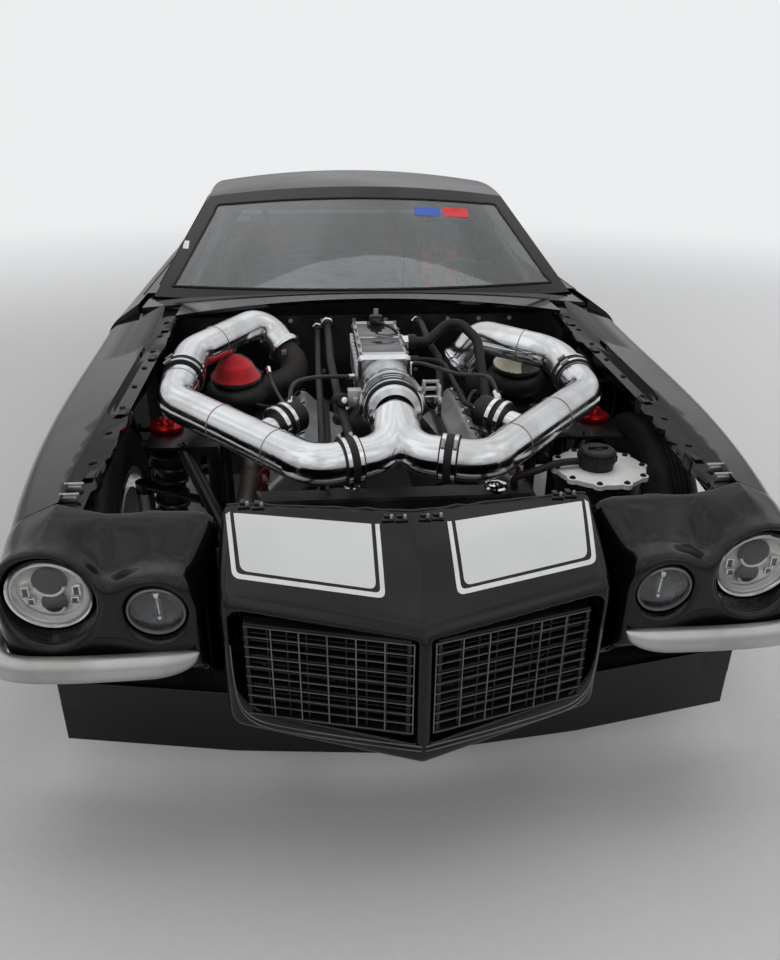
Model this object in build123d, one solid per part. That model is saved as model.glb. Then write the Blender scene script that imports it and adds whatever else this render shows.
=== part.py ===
from build123d import *
import math
import os

# Drag racing coupe, early-seventies two-door shell with a twin-turbo engine in an open bay.
# Millimetres. +X is the car's left side, stations run back from the nose tip, +Z is up.

# Overall sizes
LENGTH = 4775.0
NOSE_Y = -LENGTH / 2
FRONT_AXLE = 958.0
WHEELBASE = 2743.0
REAR_AXLE = FRONT_AXLE + WHEELBASE

# Panels and gaps
SKIN = 6.0
PANEL_GAP = 6.0
DOOR_GAP = 8.0
SEAT = 0.3
GLASS = 5.0

# Body lines
BELT = 868.0
DOOR_FRONT = 1622.0
DOOR_REAR = 2975.0
DOOR_BOTTOM = 262.0
DOOR_TOP_X = 792.0
FENDER_FRONT = 340.0
QUARTER_REAR = 4700.0
DECK_FRONT = 3960.0
DECK_REAR = 4640.0
TAIL_THICK = 23.7
LAMP_R = 72.0
LAMP_Z = 660.0
CROWN = 16.0

# Door and deck lid hinges
DOOR_HINGE_X = 919.0
DOOR_HINGE_S = 1556.0
DOOR_HINGE_Z = (400.0, 600.0)
DOOR_PIN_R = 5.0
DOOR_EYE_R = 9.0
PILLAR_X = 742.0
PILLAR_FACE = 784.0
LID_HINGE_S = 3955.0
LID_HINGE_Z = 906.0
LID_HINGE_X = 300.0
LID_PIN_R = 3.0
LID_EYE_R = 7.0
PIN_FIT = 0.05

# Outer skin, one row for each station
# station, sill x, sill z, waist x, waist z, shoulder x, shoulder z, top x, top z
BODY = (
    (340, 790, 275, 868, 500, 852, 690, 735, 742),
    (620, 848, 215, 905, 510, 882, 726, 722, 785),
    (958, 880, 185, 932, 520, 902, 748, 710, 815),
    (1616, 892, 180, 943, 520, 903, 792, 700, 868),
    (2300, 893, 180, 945, 520, 893, 812, 792, 868),
    (2975, 890, 180, 944, 520, 893, 820, 772, 868),
    (3420, 885, 190, 943, 525, 898, 828, 741, 874),
    (3860, 872, 215, 936, 535, 893, 838, 688, 884),
    (4300, 840, 250, 905, 550, 862, 835, 640, 882),
    (4700, 785, 300, 850, 570, 810, 815, 600, 864),
)
SHOULDER_BLEND = 55.0
LEDGE_DROP = 18.0
LEDGE_WIDE = 48.0
LEDGE_LIP = 27.0

# Wheels
FRONT_TYRE_R = 330.0
FRONT_TYRE_WIDE = 130.0
FRONT_WHEEL_X = 800.0
REAR_TYRE_R = 370.0
REAR_TYRE_WIDE = 300.0
REAR_WHEEL_X = 762.0
RIM_R = 195.0
RIM_WALL = 6.0
RIM_LIP = 10.0
FRONT_RIM_WIDE = 110.0
REAR_RIM_WIDE = 262.0
FRONT_ARCH_R = 372.0
REAR_ARCH_R = 394.0
HUB_R = 58.0
SPINDLE_R = 20.0
SPINDLE_FIT = 0.05
SPOKES = 5
DISC_R = 145.0
DISC_THICK = 10.0

# Steering
KINGPIN_X = 700.0
KINGPIN_R = 14.0
KINGPIN_LOW = 205.0
KINGPIN_HIGH = 470.0
RACK_S = 700.0
RACK_Z = 195.0
RACK_ROD_R = 14.0
ROD_Z = 240.0
STEER_ARM = 120.0
ARM_LOW_Z = 205.0
ARM_HIGH_Z = 495.0
BUSH_R = 13.0
COIL_X = 628.0
COIL_R = 40.0
CLIP_R = 19.0
TOWER_X = 475.0
TOWER_TOP = 655.0

# Nose
NOSE_HALF = 402.0
GRILLE_X0 = 26.0
GRILLE_X1 = 352.0
GRILLE_Z0 = 340.0
GRILLE_Z1 = 572.0
GRILLE_DEEP = 26.0
GRILLE_BAR = 3.0
GRILLE_UPRIGHTS = 7
GRILLE_ROWS = 11
# side view of the prow: station and height of each point, at the middle and at the outer edge
PROW_MIDDLE = ((355, 757), (52, 600), (18, 572), (6, 318), (26, 282), (215, 262))
PROW_OUTER = ((335, 733), (150, 628), (128, 600), (142, 340), (160, 300), (240, 262))

# Lamps
HEAD_X = 740.0
HEAD_Z = 601.0
HEAD_R = 88.0
HEAD_S = 205.0
PARK_X = 525.0
PARK_Z = 576.0
PARK_R = 60.0
PARK_S = 168.0
BEZEL = 11.0
POD_WALL = 8.0
POD_SPLIT = 631.0
POD_LOW = 300.0
DAM_LOW = 130.0

# Greenhouse outlines: height, front corner x, front corner s, front middle s,
# side middle x, rear corner x, rear corner s, rear middle s
HOUSE_LOW = (850.0, 768.0, 1712.0, 1600.0, 796.0, 716.0, 3860.0, 3925.0)
HOUSE_HIGH = (1225.0, 552.0, 2414.0, 2300.0, 566.0, 540.0, 2960.0, 3020.0)
ROOF_BALL = 4000.0
ROOF_TOP = 1215.0
ROOF_MIDDLE = 2660.0
PILLAR_WALL = 32.0

# Engine
CRANK_Z = 350.0
SUMP_Z = 244.0
DECK_Z = 540.0
GEARBOX_Z = 340.0
GEARBOX_R = 120.0
ENGINE_FRONT = 690.0
ENGINE_LONG = 560.0
BANK_ANGLE = 45.0
HEAD_HALF = 90.0
HEAD_TOP = 330.0
COVER_HALF = 70.0
COVER_TOP = 400.0
PORT_R = 21.0
LOG_R = 30.0
LOG_X = 400.0
LOG_Z = 470.0
PIPE_R = 50.8
COUPLER_R = 57.0
COUPLER_LONG = 46.0
TURBO_Z = 660.0
TURBO_TILT = 8.0
TURBO_LEFT = (478.0, 1360.0)
TURBO_RIGHT = (-445.0, 1298.0)
SCROLL_R = 66.0
SCROLL_TUBE = 34.0
CAP_R = 86.0
CAP_BASE = 58.0
CAP_TIP = 122.0
THROTTLE_S = 738.0
THROTTLE_Z = 800.0
# depth behind the mouth and radius at each step of the ribbed neck
THROTTLE_RINGS = (
    (0, 84), (14, 84), (14, 74), (24, 74), (24, 80), (34, 80),
    (34, 72), (46, 72), (46, 78), (56, 78), (56, 70), (112.2, 62),
)
PLENUM_X = -10.0
PLENUM_WIDE = 140.0
PLENUM_FRONT = 850.0
PLENUM_REAR = 1225.0
PLENUM_LOW = 760.0
PLENUM_TOP = 895.0
CHARGE_BENDS = (120.0, 95.0, 90.0, 110.0, 150.0, 62.0)

# Front of the engine bay
RADIATOR_HALF = 336.0
RADIATOR_S = 560.0
RADIATOR_THICK = 58.0
RADIATOR_TOP = 620.0
TANK_X = 533.0
TANK_S = 640.0
TANK_LOW = 590.0
TANK_TOP = 640.0

# Frame
RAIL_X = 420.0
RAIL_NOSE_X = 330.0
RAIL_NOSE_Z = 300.0
RAIL_WIDE = 50.0
RAIL_HIGH = 76.0
RAIL_Z = 190.0
JACK_PADS = (1800.0, 2800.0)
JACK_Z = 114.0
CAGE_R = 20.6
FLOOR_Z = 214.0
FLOOR_THICK = 5.0
TRUNK_FLOOR_Z = 566.0
FIREWALL_S = 1555.0
COWL_X = 640.0
COWL_SIDE = 778.0
COWL_Z = 890.0
COWL_THICK = 12.0
FLOOR_HALF = 800.0
FLOOR_FRONT = 1640.0
FLOOR_REAR = 3040.0
TUNNEL_STEP = 2160.0
TUNNEL_FRONT_R = 272.0
TUNNEL_REAR_R = 200.0
TRUNK_REAR = 4640.0
DASH_BAR_S = 1816.0
DASH_BAR_Z = 740.0

# Bay hoses: radius, bend radii, points of the route
PLENUM_WALL = PLENUM_X + PLENUM_WIDE / 2 + SEAT
HOSES = (
    (9.5, (60, 60, 45), (
        (-182, 1554, 800), (-184, 1016, 772), (-182, 760, 756), (-182, 598, 738),
        (-182, 598, RADIATOR_TOP + SEAT),
    )),
    (12.0, (80, 80, 45), (
        (-148, 1554, 815), (-147, 1132, 800), (-134, 860, 778), (-112, 606, 752),
        (-112, 606, RADIATOR_TOP + SEAT),
    )),
    (11.0, (60, 60, 60, 34), (
        (161, 1552.4, 812), (161, 1429, 838), (163, 1217, 822), (181, 1142, 800),
        (156.5, 950, 740.5), (110.5, 950, 702.5),
    )),
    (15.0, (34, 50, 50, 40), (
        (PLENUM_WALL, 1185, 840), (150, 1185, 840), (235, 1220, 905), (300, 1165, 850),
        (304, 1005, 711.5), (255, 1005, 661.9),
    )),
    (7.0, (60, 24), (
        (PLENUM_WALL, 1110, 806), (185, 1110, 806), (203.5, 807, 771.5), (231.3, 779.9, 766.9),
    )),
)

NODES = {}


def node(name, *shapes):
    """Keep the solids of one sub-part under its name."""
    NODES[name] = Compound([solid for shape in shapes for solid in shape.solids()])


def at_station(s):
    """Front-view points (x, z) placed at station s."""
    return lambda x, z: (x, s, z)


def at_side(x):
    """Side-view points (s, z) placed at width x."""
    return lambda s, z: (x, s, z)


def at_height(z):
    """Plan-view points (x, s) placed at height z."""
    return lambda x, s: (x, s, z)


def face(place, points):
    """Plane face round a closed list of points, where a pair of points is an arc's middle and end."""
    edges = []
    here = place(*points[0])
    for step in points[1:]:
        if isinstance(step[0], tuple):
            end = place(*step[1])
            edges.append(ThreePointArc(here, place(*step[0]), end).edge())
        else:
            end = place(*step)
            edges.append(Line(here, end).edge())
        here = end
    start = place(*points[0])
    if here != start:
        edges.append(Line(here, start).edge())
    return Face(Wire(edges))


def block(x0, x1, s0, s1, z0, z1):
    """Box between two corners."""
    middle = Pos((x0 + x1) / 2, (s0 + s1) / 2, (z0 + z1) / 2)
    return middle * Box(abs(x1 - x0), abs(s1 - s0), abs(z1 - z0))


def bar(start, end, radius):
    """Round bar between two points."""
    line = Line(start, end)
    return sweep((line ^ 0) * Circle(radius), path=line)


def tube(points, bend, radius, wall=0.0):
    """Round tube along straight runs joined by bends; solid if it has no wall."""
    path = FilletPolyline(*points, radius=bend)
    outer = sweep((path ^ 0) * Circle(radius), path=path)
    if wall == 0.0:
        return outer
    return outer - sweep((path ^ 0) * Circle(radius - wall), path=path)


def drum(x0, x1, s, z, radius):
    """Cylinder along X between two widths."""
    return Pos((x0 + x1) / 2, s, z) * Rot(0, 90, 0) * Cylinder(radius, abs(x1 - x0))


def post(x, s, z0, z1, radius):
    """Upright cylinder between two heights."""
    return Pos(x, s, (z0 + z1) / 2) * Cylinder(radius, z1 - z0)


def along(x, z, s0, s1, radius):
    """Cylinder along the car between two stations."""
    return Pos(x, (s0 + s1) / 2, z) * Rot(90, 0, 0) * Cylinder(radius, s1 - s0)


def both(shape):
    """A left-hand piece and its mirror image."""
    return [shape, mirror(shape, about=Plane.YZ)]


def body_at(s):
    """The body table's columns at station s, on a smooth curve through its rows."""
    last = len(BODY) - 2
    k = max(0, min(last, sum(1 for row in BODY[1:-1] if row[0] <= s)))
    a, b = BODY[k], BODY[k + 1]
    before, after = BODY[max(k - 1, 0)], BODY[min(k + 2, last + 1)]
    step = b[0] - a[0]
    t = (s - a[0]) / step
    values = []
    for i in range(1, len(a)):
        slope_a = (b[i] - before[i]) / (b[0] - before[0])
        slope_b = (after[i] - a[i]) / (after[0] - a[0])
        values.append(
            (2 * t**3 - 3 * t**2 + 1) * a[i]
            + (t**3 - 2 * t**2 + t) * step * slope_a
            + (3 * t**2 - 2 * t**3) * b[i]
            + (t**3 - t**2) * step * slope_b
        )
    return values


def side_arc(waist, end):
    """Middle point of the arc from the waist, upright there, to another point of the side."""
    dx, dz = waist[0] - end[0], end[1] - waist[1]
    radius = (dx * dx + dz * dz) / (2 * dx)
    half = math.asin(abs(dz) / radius) / 2
    up = math.copysign(math.sin(half), dz)
    return (waist[0] - radius * (1 - math.cos(half)), waist[1] + radius * up)


def shoulder_arc(below, corner, inboard):
    """Start, middle and end of the blend at the shoulder corner."""
    corner_v, below_v, inboard_v = Vector(*corner), Vector(*below), Vector(*inboard)
    down = (below_v - corner_v).normalized()
    across = (inboard_v - corner_v).normalized()
    half = math.radians(down.get_angle(across)) / 2
    radius = SHOULDER_BLEND * math.tan(half)
    middle = corner_v + (down + across).normalized() * (radius / math.sin(half) - radius)
    start = corner_v + down * SHOULDER_BLEND
    end = corner_v + across * SHOULDER_BLEND
    return [(point.X, point.Y) for point in (start, middle, end)]


def side_curve(s, inset, low=None, top=None):
    """Side of the body from its lower edge to its top edge, moved inboard by the inset."""
    sill_x, sill_z, waist_x, waist_z, shoulder_x, shoulder_z, top_x, top_z = body_at(s)
    waist = (waist_x - inset, waist_z)
    sill = (sill_x - inset, sill_z)
    if low is not None:
        share = (waist_z - low) / (waist_z - sill_z)
        sill = (waist_x - inset - (waist_x - sill_x) * share * share, low)
    shoulder = (shoulder_x - inset, shoulder_z - inset)
    top = top or (top_x, top_z - inset)
    start, middle, end = shoulder_arc(waist, shoulder, top)
    return [sill, (side_arc(waist, sill), waist), (side_arc(waist, start), start), (middle, end), top]


def reversed_steps(points):
    """The same line and arc steps walked the other way."""
    ends = [p[1] if isinstance(p[0], tuple) else p for p in points]
    out = [ends[-1]]
    for k in range(len(points) - 1, 0, -1):
        step = points[k]
        out.append((step[0], ends[k - 1]) if isinstance(step[0], tuple) else ends[k - 1])
    return out


def fender_section(s):
    """Thin front fender section with the ledge that a hood would close on."""
    outer = side_curve(s, 0.0)
    top_x, top_z = outer[-1]
    inner = reversed_steps(side_curve(s, SKIN))
    shelf = top_z - LEDGE_DROP
    edge = top_x - LEDGE_WIDE
    ledge = [
        (top_x, shelf), (edge, shelf), (edge, shelf - LEDGE_LIP), (edge + SKIN, shelf - LEDGE_LIP),
        (edge + SKIN, shelf - SKIN), (top_x + SKIN, shelf - SKIN),
    ]
    inner[0] = (top_x + SKIN, top_z - SKIN)
    return face(at_station(s), outer + ledge + inner)


def quarter_section(s):
    """Thin quarter panel section with a plain turned-down top edge."""
    outer = side_curve(s, 0.0)
    top_x, top_z = outer[-1]
    inner = reversed_steps(side_curve(s, SKIN))
    lip = [(top_x, top_z - 25), (top_x + SKIN, top_z - 25)]
    inner[0] = (top_x + SKIN, top_z - SKIN)
    return face(at_station(s), outer + lip + inner)


def door_section(s):
    """Door section as thick as the whole door."""
    outer = side_curve(s, 0.0, DOOR_BOTTOM, (DOOR_TOP_X, BELT))
    return face(at_station(s), outer + [(748.0, BELT), (735.0, 600.0), (748.0, DOOR_BOTTOM)])


def arch(s, z, radius, x0=600.0, x1=1000.0):
    """Cutter for a wheel opening."""
    return drum(x0, x1, s, z, radius)


def pod(x0, x1, z0, z1, crown, s):
    """Arched front-view outline of a lamp pod."""
    middle = (x0 + x1) / 2
    return face(at_station(s), [(x0, z0), (x1, z0), (x1, z1), ((middle, z1 + crown), (x0, z1))])


def lamp_pod(rear, front, s_rear, s_front, lamp_x, lamp_z, lamp_r):
    """Hollow pod, open behind, with a round lamp opening and a raised rim."""
    shell = loft([pod(*rear, s_rear), pod(*front, s_front)], ruled=True)
    x0, x1, z0, z1, crown = rear
    inner_rear = pod(x0 + POD_WALL, x1 - POD_WALL, z0 - 1, z1 - POD_WALL, crown, s_rear + 1)
    x0, x1, z0, z1, crown = front
    inner_front = pod(
        x0 + POD_WALL, x1 - POD_WALL, z0 - 1, z1 - POD_WALL, crown, s_front + POD_WALL
    )
    shell -= loft([inner_rear, inner_front], ruled=True)
    rim = along(lamp_x, lamp_z, s_front - BEZEL, s_front + POD_WALL, lamp_r + BEZEL)
    rim = chamfer(rim.edges().group_by(Axis.Y)[0], BEZEL * 0.6)
    return shell + rim - along(lamp_x, lamp_z, s_front - 60, s_front + 60, lamp_r)


def front_fender():
    """Left front fender with its headlamp pod."""
    stations = (FENDER_FRONT, 620.0, FRONT_AXLE, DOOR_FRONT - DOOR_GAP)
    skin = loft([fender_section(s) for s in stations])
    skin -= arch(FRONT_AXLE, FRONT_TYRE_R, FRONT_ARCH_R)
    head = lamp_pod(
        (POD_SPLIT, 866.0, POD_LOW, 640.0, 95.0), (POD_SPLIT, 838.0, POD_LOW, 600.0, 104.0),
        FENDER_FRONT, HEAD_S, HEAD_X, HEAD_Z, HEAD_R,
    )
    return skin + head


def quarter_panel():
    """Left rear quarter panel."""
    stations = (DOOR_REAR + PANEL_GAP, 3420.0, 3860.0, 4300.0, QUARTER_REAR)
    skin = loft([quarter_section(s) for s in stations]) - greenhouse(-SEAT)
    skin -= arch(REAR_AXLE, REAR_TYRE_R, REAR_ARCH_R)
    return skin.solids().sort_by(SortBy.VOLUME)[-1]


def rocker_panel():
    """Left rocker panel below the door, a closed box against the floor's edge."""
    top = DOOR_BOTTOM - PANEL_GAP
    sections = []
    for s in (DOOR_FRONT - DOOR_GAP + SEAT, 2300.0, DOOR_REAR + PANEL_GAP - SEAT):
        sill_x, sill_z, waist_x, waist_z = body_at(s)[:4]
        share = (waist_z - top) / (waist_z - sill_z)
        half = (waist_z - (top + sill_z) / 2) / (waist_z - sill_z)
        edge = waist_x - (waist_x - sill_x) * share * share
        middle = waist_x - (waist_x - sill_x) * half * half
        sections.append(face(at_station(s), [
            (FLOOR_HALF + SEAT, sill_z + 10), (sill_x - 20, sill_z), (sill_x, sill_z),
            ((middle, (top + sill_z) / 2), (edge, top)), (FLOOR_HALF + SEAT, top),
        ]))
    return loft(sections)


def door():
    """Left door, whole thickness, thin ahead of the hinge pillar."""
    shell = loft([door_section(s) for s in (DOOR_FRONT, 2300.0, DOOR_REAR)])
    reach = PILLAR_FACE + PANEL_GAP
    shell -= block(600, reach, DOOR_FRONT - 10, DOOR_FRONT + 185, DOOR_BOTTOM - 10, BELT + 10)
    jamb = face(at_height(DOOR_BOTTOM - 10), [
        (700, DOOR_REAR - 24), (842, DOOR_REAR - 24), (880, DOOR_REAR + 1), (700, DOOR_REAR + 1),
    ])
    shell -= extrude(jamb, amount=BELT - DOOR_BOTTOM + 40, dir=(0, 0, 1))
    goose = DOOR_HINGE_X - 60
    for z in DOOR_HINGE_Z:
        low, high = z - 8, z + 8
        shell += block(goose - 7, DOOR_HINGE_X, DOOR_HINGE_S - 6, DOOR_HINGE_S + 6, low, high)
        shell += block(goose - 7, goose + 7, DOOR_HINGE_S - 6, DOOR_FRONT + 4, low, high)
        shell += post(DOOR_HINGE_X, DOOR_HINGE_S, low, high, DOOR_EYE_R)
        shell -= post(DOOR_HINGE_X, DOOR_HINGE_S, low - 1, high + 1, DOOR_PIN_R + PIN_FIT)
    return shell


def hinge_pillar():
    """Left hinge pillar with the arms and pins that carry the door."""
    pillar = block(PILLAR_X, PILLAR_FACE, DOOR_HINGE_S - 12, 1640, DOOR_BOTTOM, 815)
    for z in DOOR_HINGE_Z:
        low, high = z - 22, z - 8 - SEAT
        pillar += block(PILLAR_FACE, DOOR_HINGE_X, DOOR_HINGE_S - 7, DOOR_HINGE_S + 7, low, high)
        pillar += post(DOOR_HINGE_X, DOOR_HINGE_S, low, high, DOOR_EYE_R)
        pillar += post(DOOR_HINGE_X, DOOR_HINGE_S, low, z + 8, DOOR_PIN_R)
    return pillar


def house_outline(row, inset):
    """Plan outline of the greenhouse at one height."""
    z, fx, fs, fm, side, rx, rs, rm = row
    lean = 1.6 * inset
    middle = (fs + rs) / 2
    return face(at_height(z), [
        (-fx + inset, fs + lean), ((0, fm + lean), (fx - inset, fs + lean)),
        ((side - inset, middle), (rx - inset, rs - lean)),
        ((0, rm - lean), (-rx + inset, rs - lean)), ((-side + inset, middle), (-fx + inset, fs + lean)),
    ])


def greenhouse(inset):
    """Solid greenhouse from belt to roof, moved in by the inset."""
    walls = loft([house_outline(HOUSE_LOW, inset), house_outline(HOUSE_HIGH, inset)], ruled=True)
    ball = Pos(0, ROOF_MIDDLE, ROOF_TOP - ROOF_BALL) * Sphere(ROOF_BALL - inset)
    return walls & ball


SIDE_WINDOW = ((1890, BELT - 20), (1890, 884), (2322, 1118), (2960, 1130), (2985, 884), (2985, BELT - 20))
FRONT_WINDOW = (700, 892, 560, 1128, 1158)
REAR_WINDOW = (610, 908, 500, 1122, 1142)


def side_prism(shrink, x0, x1):
    """Side window opening as a block across the car."""
    (a, z0), (b, z1), (c, z2), (d, z3), (e, z4), (f, z5) = SIDE_WINDOW
    points = [
        (a + 2 * shrink, z0), (b + 2 * shrink, z1), (c + shrink, z2 - shrink), (d - shrink, z3 - shrink),
        (e - shrink, z4), (f - shrink, z5),
    ]
    return extrude(face(at_side(x0), points), amount=x1 - x0, dir=(1, 0, 0))


def end_prism(window, shrink, s0, s1):
    """Windshield or rear window opening as a block along the car."""
    low_x, low_z, high_x, high_z, crown = window
    points = [
        (-low_x + shrink, low_z + shrink), (low_x - shrink, low_z + shrink),
        (high_x - shrink, high_z - shrink), ((0, crown - shrink), (-high_x + shrink, high_z - shrink)),
    ]
    return extrude(face(at_station(s0), points), amount=s1 - s0, dir=(0, 1, 0))


def build_greenhouse():
    """Roof with pillars, windshield, rear window and both door glasses."""
    shell = greenhouse(0.0) - greenhouse(PILLAR_WALL)
    above = block(-1000, 1000, 1000, 4500, BELT + SEAT, 1400)
    shell = shell & above
    shell -= side_prism(0.0, -900, 900)
    shell -= end_prism(FRONT_WINDOW, 0.0, 1400, 2620)
    shell -= end_prism(REAR_WINDOW, 0.0, 2900, 4200)
    pane = greenhouse(4.0) - greenhouse(4.0 + GLASS)
    node("roof_shell", shell)
    node("windshield", pane & end_prism(FRONT_WINDOW, SEAT, 1400, 2620))
    node("rear_window", pane & end_prism(REAR_WINDOW, SEAT, 2900, 4200))
    glass = pane & side_prism(6.0, 300, 900) & block(300, 1000, 1600, 3200, BELT, 1400)
    node("door_glass_left", glass)
    node("door_glass_right", mirror(glass, about=Plane.YZ))


def build_panels():
    """Fenders, quarters, doors, cowl, firewall, deck lid and tail."""
    sides = (("front_fender", front_fender()), ("quarter_panel", quarter_panel()), ("door", door()))
    for name, shape in sides:
        left, right = both(shape)
        node(name + "_left", left)
        node(name + "_right", right)
    edge, shoulder = DOOR_FRONT - DOOR_GAP + SEAT, COWL_SIDE
    plan = face(at_height(800), [
        (-COWL_X, 1452), ((0, 1568), (COWL_X, 1452)), (COWL_X, edge), (shoulder, edge),
        (shoulder, 1800), (-shoulder, 1800), (-shoulder, edge), (-COWL_X, edge),
    ])
    crown = face(at_station(1400), [
        (-shoulder, 858), ((0, COWL_Z), (shoulder, 858)), (shoulder, 858 - COWL_THICK),
        ((0, COWL_Z - COWL_THICK), (-shoulder, 858 - COWL_THICK)),
    ])
    cowl = extrude(plan, amount=200, dir=(0, 0, 1)) & extrude(crown, amount=420, dir=(0, 1, 0))
    node("cowl_panel", cowl - greenhouse(-SEAT))
    firewall = block(-COWL_X, COWL_X, FIREWALL_S, FIREWALL_S + SKIN, 330, 835)
    for side in (-1, 1):
        firewall += block(side * 640, side * 742, 1632, 1632 + SKIN, 262, 830)
        firewall += block(side * 634, side * 640, FIREWALL_S, 1638, 330, 835)
    firewall -= along(0, GEARBOX_Z, FIREWALL_S - 20, FIREWALL_S + 90, 175)
    for pillar in both(hinge_pillar()):
        firewall += pillar
    node("firewall", firewall)
    node("rocker_panels", *both(rocker_panel()))


def prow_section(points, x, inset):
    """Side-view section of the prow, moved in by the inset."""
    (s0, z0), (s1, z1), (s2, z2), (s3, z3), (s4, z4), (s5, z5) = points
    back = inset * 1.2
    return face(at_side(x), [
        (s0 + inset, z0 - inset), (s1 + back, z1 - inset * 0.9), (s2 + inset, z2 - inset * 0.6),
        (s3 + inset, z3 + inset * 0.5), (s4 + inset, z4 + inset), (s5 + inset, z5 + inset),
    ])


def grille_frame(inset, deep0, deep1):
    """Block through the left half of the grille opening, square to the prow's face."""
    top0, top1 = PROW_MIDDLE[2], PROW_OUTER[2]
    slope = (top1[0] - top0[0]) / NOSE_HALF
    x0, x1 = GRILLE_X0 + inset, GRILLE_X1 - inset
    points = [
        (x0, top0[0] + slope * x0 + deep0), (x1, top0[0] + slope * x1 + deep0),
        (x1, top0[0] + slope * x1 + deep1), (x0, top0[0] + slope * x0 + deep1),
    ]
    high = GRILLE_Z1 - GRILLE_Z0 - 2 * inset
    return extrude(face(at_height(GRILLE_Z0 + inset), points), amount=high, dir=(0, 0, 1))


def build_nose():
    """Prow with grille opening and parking lamp pods, grille, air dam, bumperettes and lamps."""
    outer = loft([prow_section(PROW_MIDDLE, 0, 0), prow_section(PROW_OUTER, NOSE_HALF, 0)], ruled=True)
    inner = loft([
        prow_section(PROW_MIDDLE, -1, POD_WALL), prow_section(PROW_OUTER, NOSE_HALF - POD_WALL, POD_WALL),
    ], ruled=True)
    half = outer - inner - grille_frame(0, -60, 60)
    park = lamp_pod(
        (NOSE_HALF, POD_SPLIT - SEAT, POD_LOW, 650.0, 85.0),
        (NOSE_HALF, POD_SPLIT - SEAT, POD_LOW, 590.0, 85.0),
        FENDER_FRONT, PARK_S, PARK_X, PARK_Z, PARK_R,
    )
    half = half + park
    node("nose_panel", half + mirror(half, about=Plane.YZ))
    bars = grille_frame(SEAT, 6, 6 + GRILLE_DEEP) - grille_frame(8, -60, 60)
    wide, high = GRILLE_X1 - GRILLE_X0 - 16, GRILLE_Z1 - GRILLE_Z0 - 16
    slope = (PROW_OUTER[2][0] - PROW_MIDDLE[2][0]) / NOSE_HALF
    for k in range(1, GRILLE_UPRIGHTS + 1):
        x = GRILLE_X0 + 8 + wide * k / (GRILLE_UPRIGHTS + 1)
        s = PROW_MIDDLE[2][0] + slope * x + 10
        bars += block(x - GRILLE_BAR / 2, x + GRILLE_BAR / 2, s, s + 14, GRILLE_Z0 + 4, GRILLE_Z1 - 4)
    for k in range(1, GRILLE_ROWS + 1):
        z = GRILLE_Z0 + 8 + high * k / (GRILLE_ROWS + 1)
        x0, x1 = GRILLE_X0 + 4, GRILLE_X1 - 4
        s0, s1 = PROW_MIDDLE[2][0] + slope * x0 + 12, PROW_MIDDLE[2][0] + slope * x1 + 12
        row = face(at_height(z - GRILLE_BAR / 2), [(x0, s0), (x1, s1), (x1, s1 + 12), (x0, s0 + 12)])
        bars += extrude(row, amount=GRILLE_BAR, dir=(0, 0, 1))
    node("grille", *both(bars))
    dam = [
        (-806, 318), (-404, 243), (0, 200), (404, 243), (806, 318),
        (806, 324), (404, 249), (0, 206), (-404, 249), (-806, 324),
    ]
    blade = extrude(face(at_height(DAM_LOW), dam), amount=POD_LOW - SEAT - DAM_LOW, dir=(0, 0, 1))
    node("air_dam", blade - block(-404, 404, 150, 300, PROW_MIDDLE[5][1] - SEAT, POD_LOW))
    route = ((452, 149.7, 447), (800, 149.7, 447), (902, 212, 447), (922, 330, 447))
    path = FilletPolyline(*route, radius=(60, 50))
    profile = (path ^ 0) * RectangleRounded(36, 88, 14)
    node("bumperettes", *both(sweep(profile, path=path)))
    heads = along(HEAD_X, HEAD_Z, HEAD_S - 4, HEAD_S + 60, HEAD_R - SEAT)
    parks = along(PARK_X, PARK_Z, PARK_S - 4, PARK_S + 40, PARK_R - SEAT)
    node("headlamps", *both(heads))
    node("parking_lamps", *both(parks))


def lid_section(s, half, z, thick):
    """Cross section of the tail deck at station s, its top bowed up to the middle."""
    corners = [(-half, z - thick), (half, z - thick), (half, z)]
    return face(at_station(s), corners + [((0, z + CROWN), (-half, z))])


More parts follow.
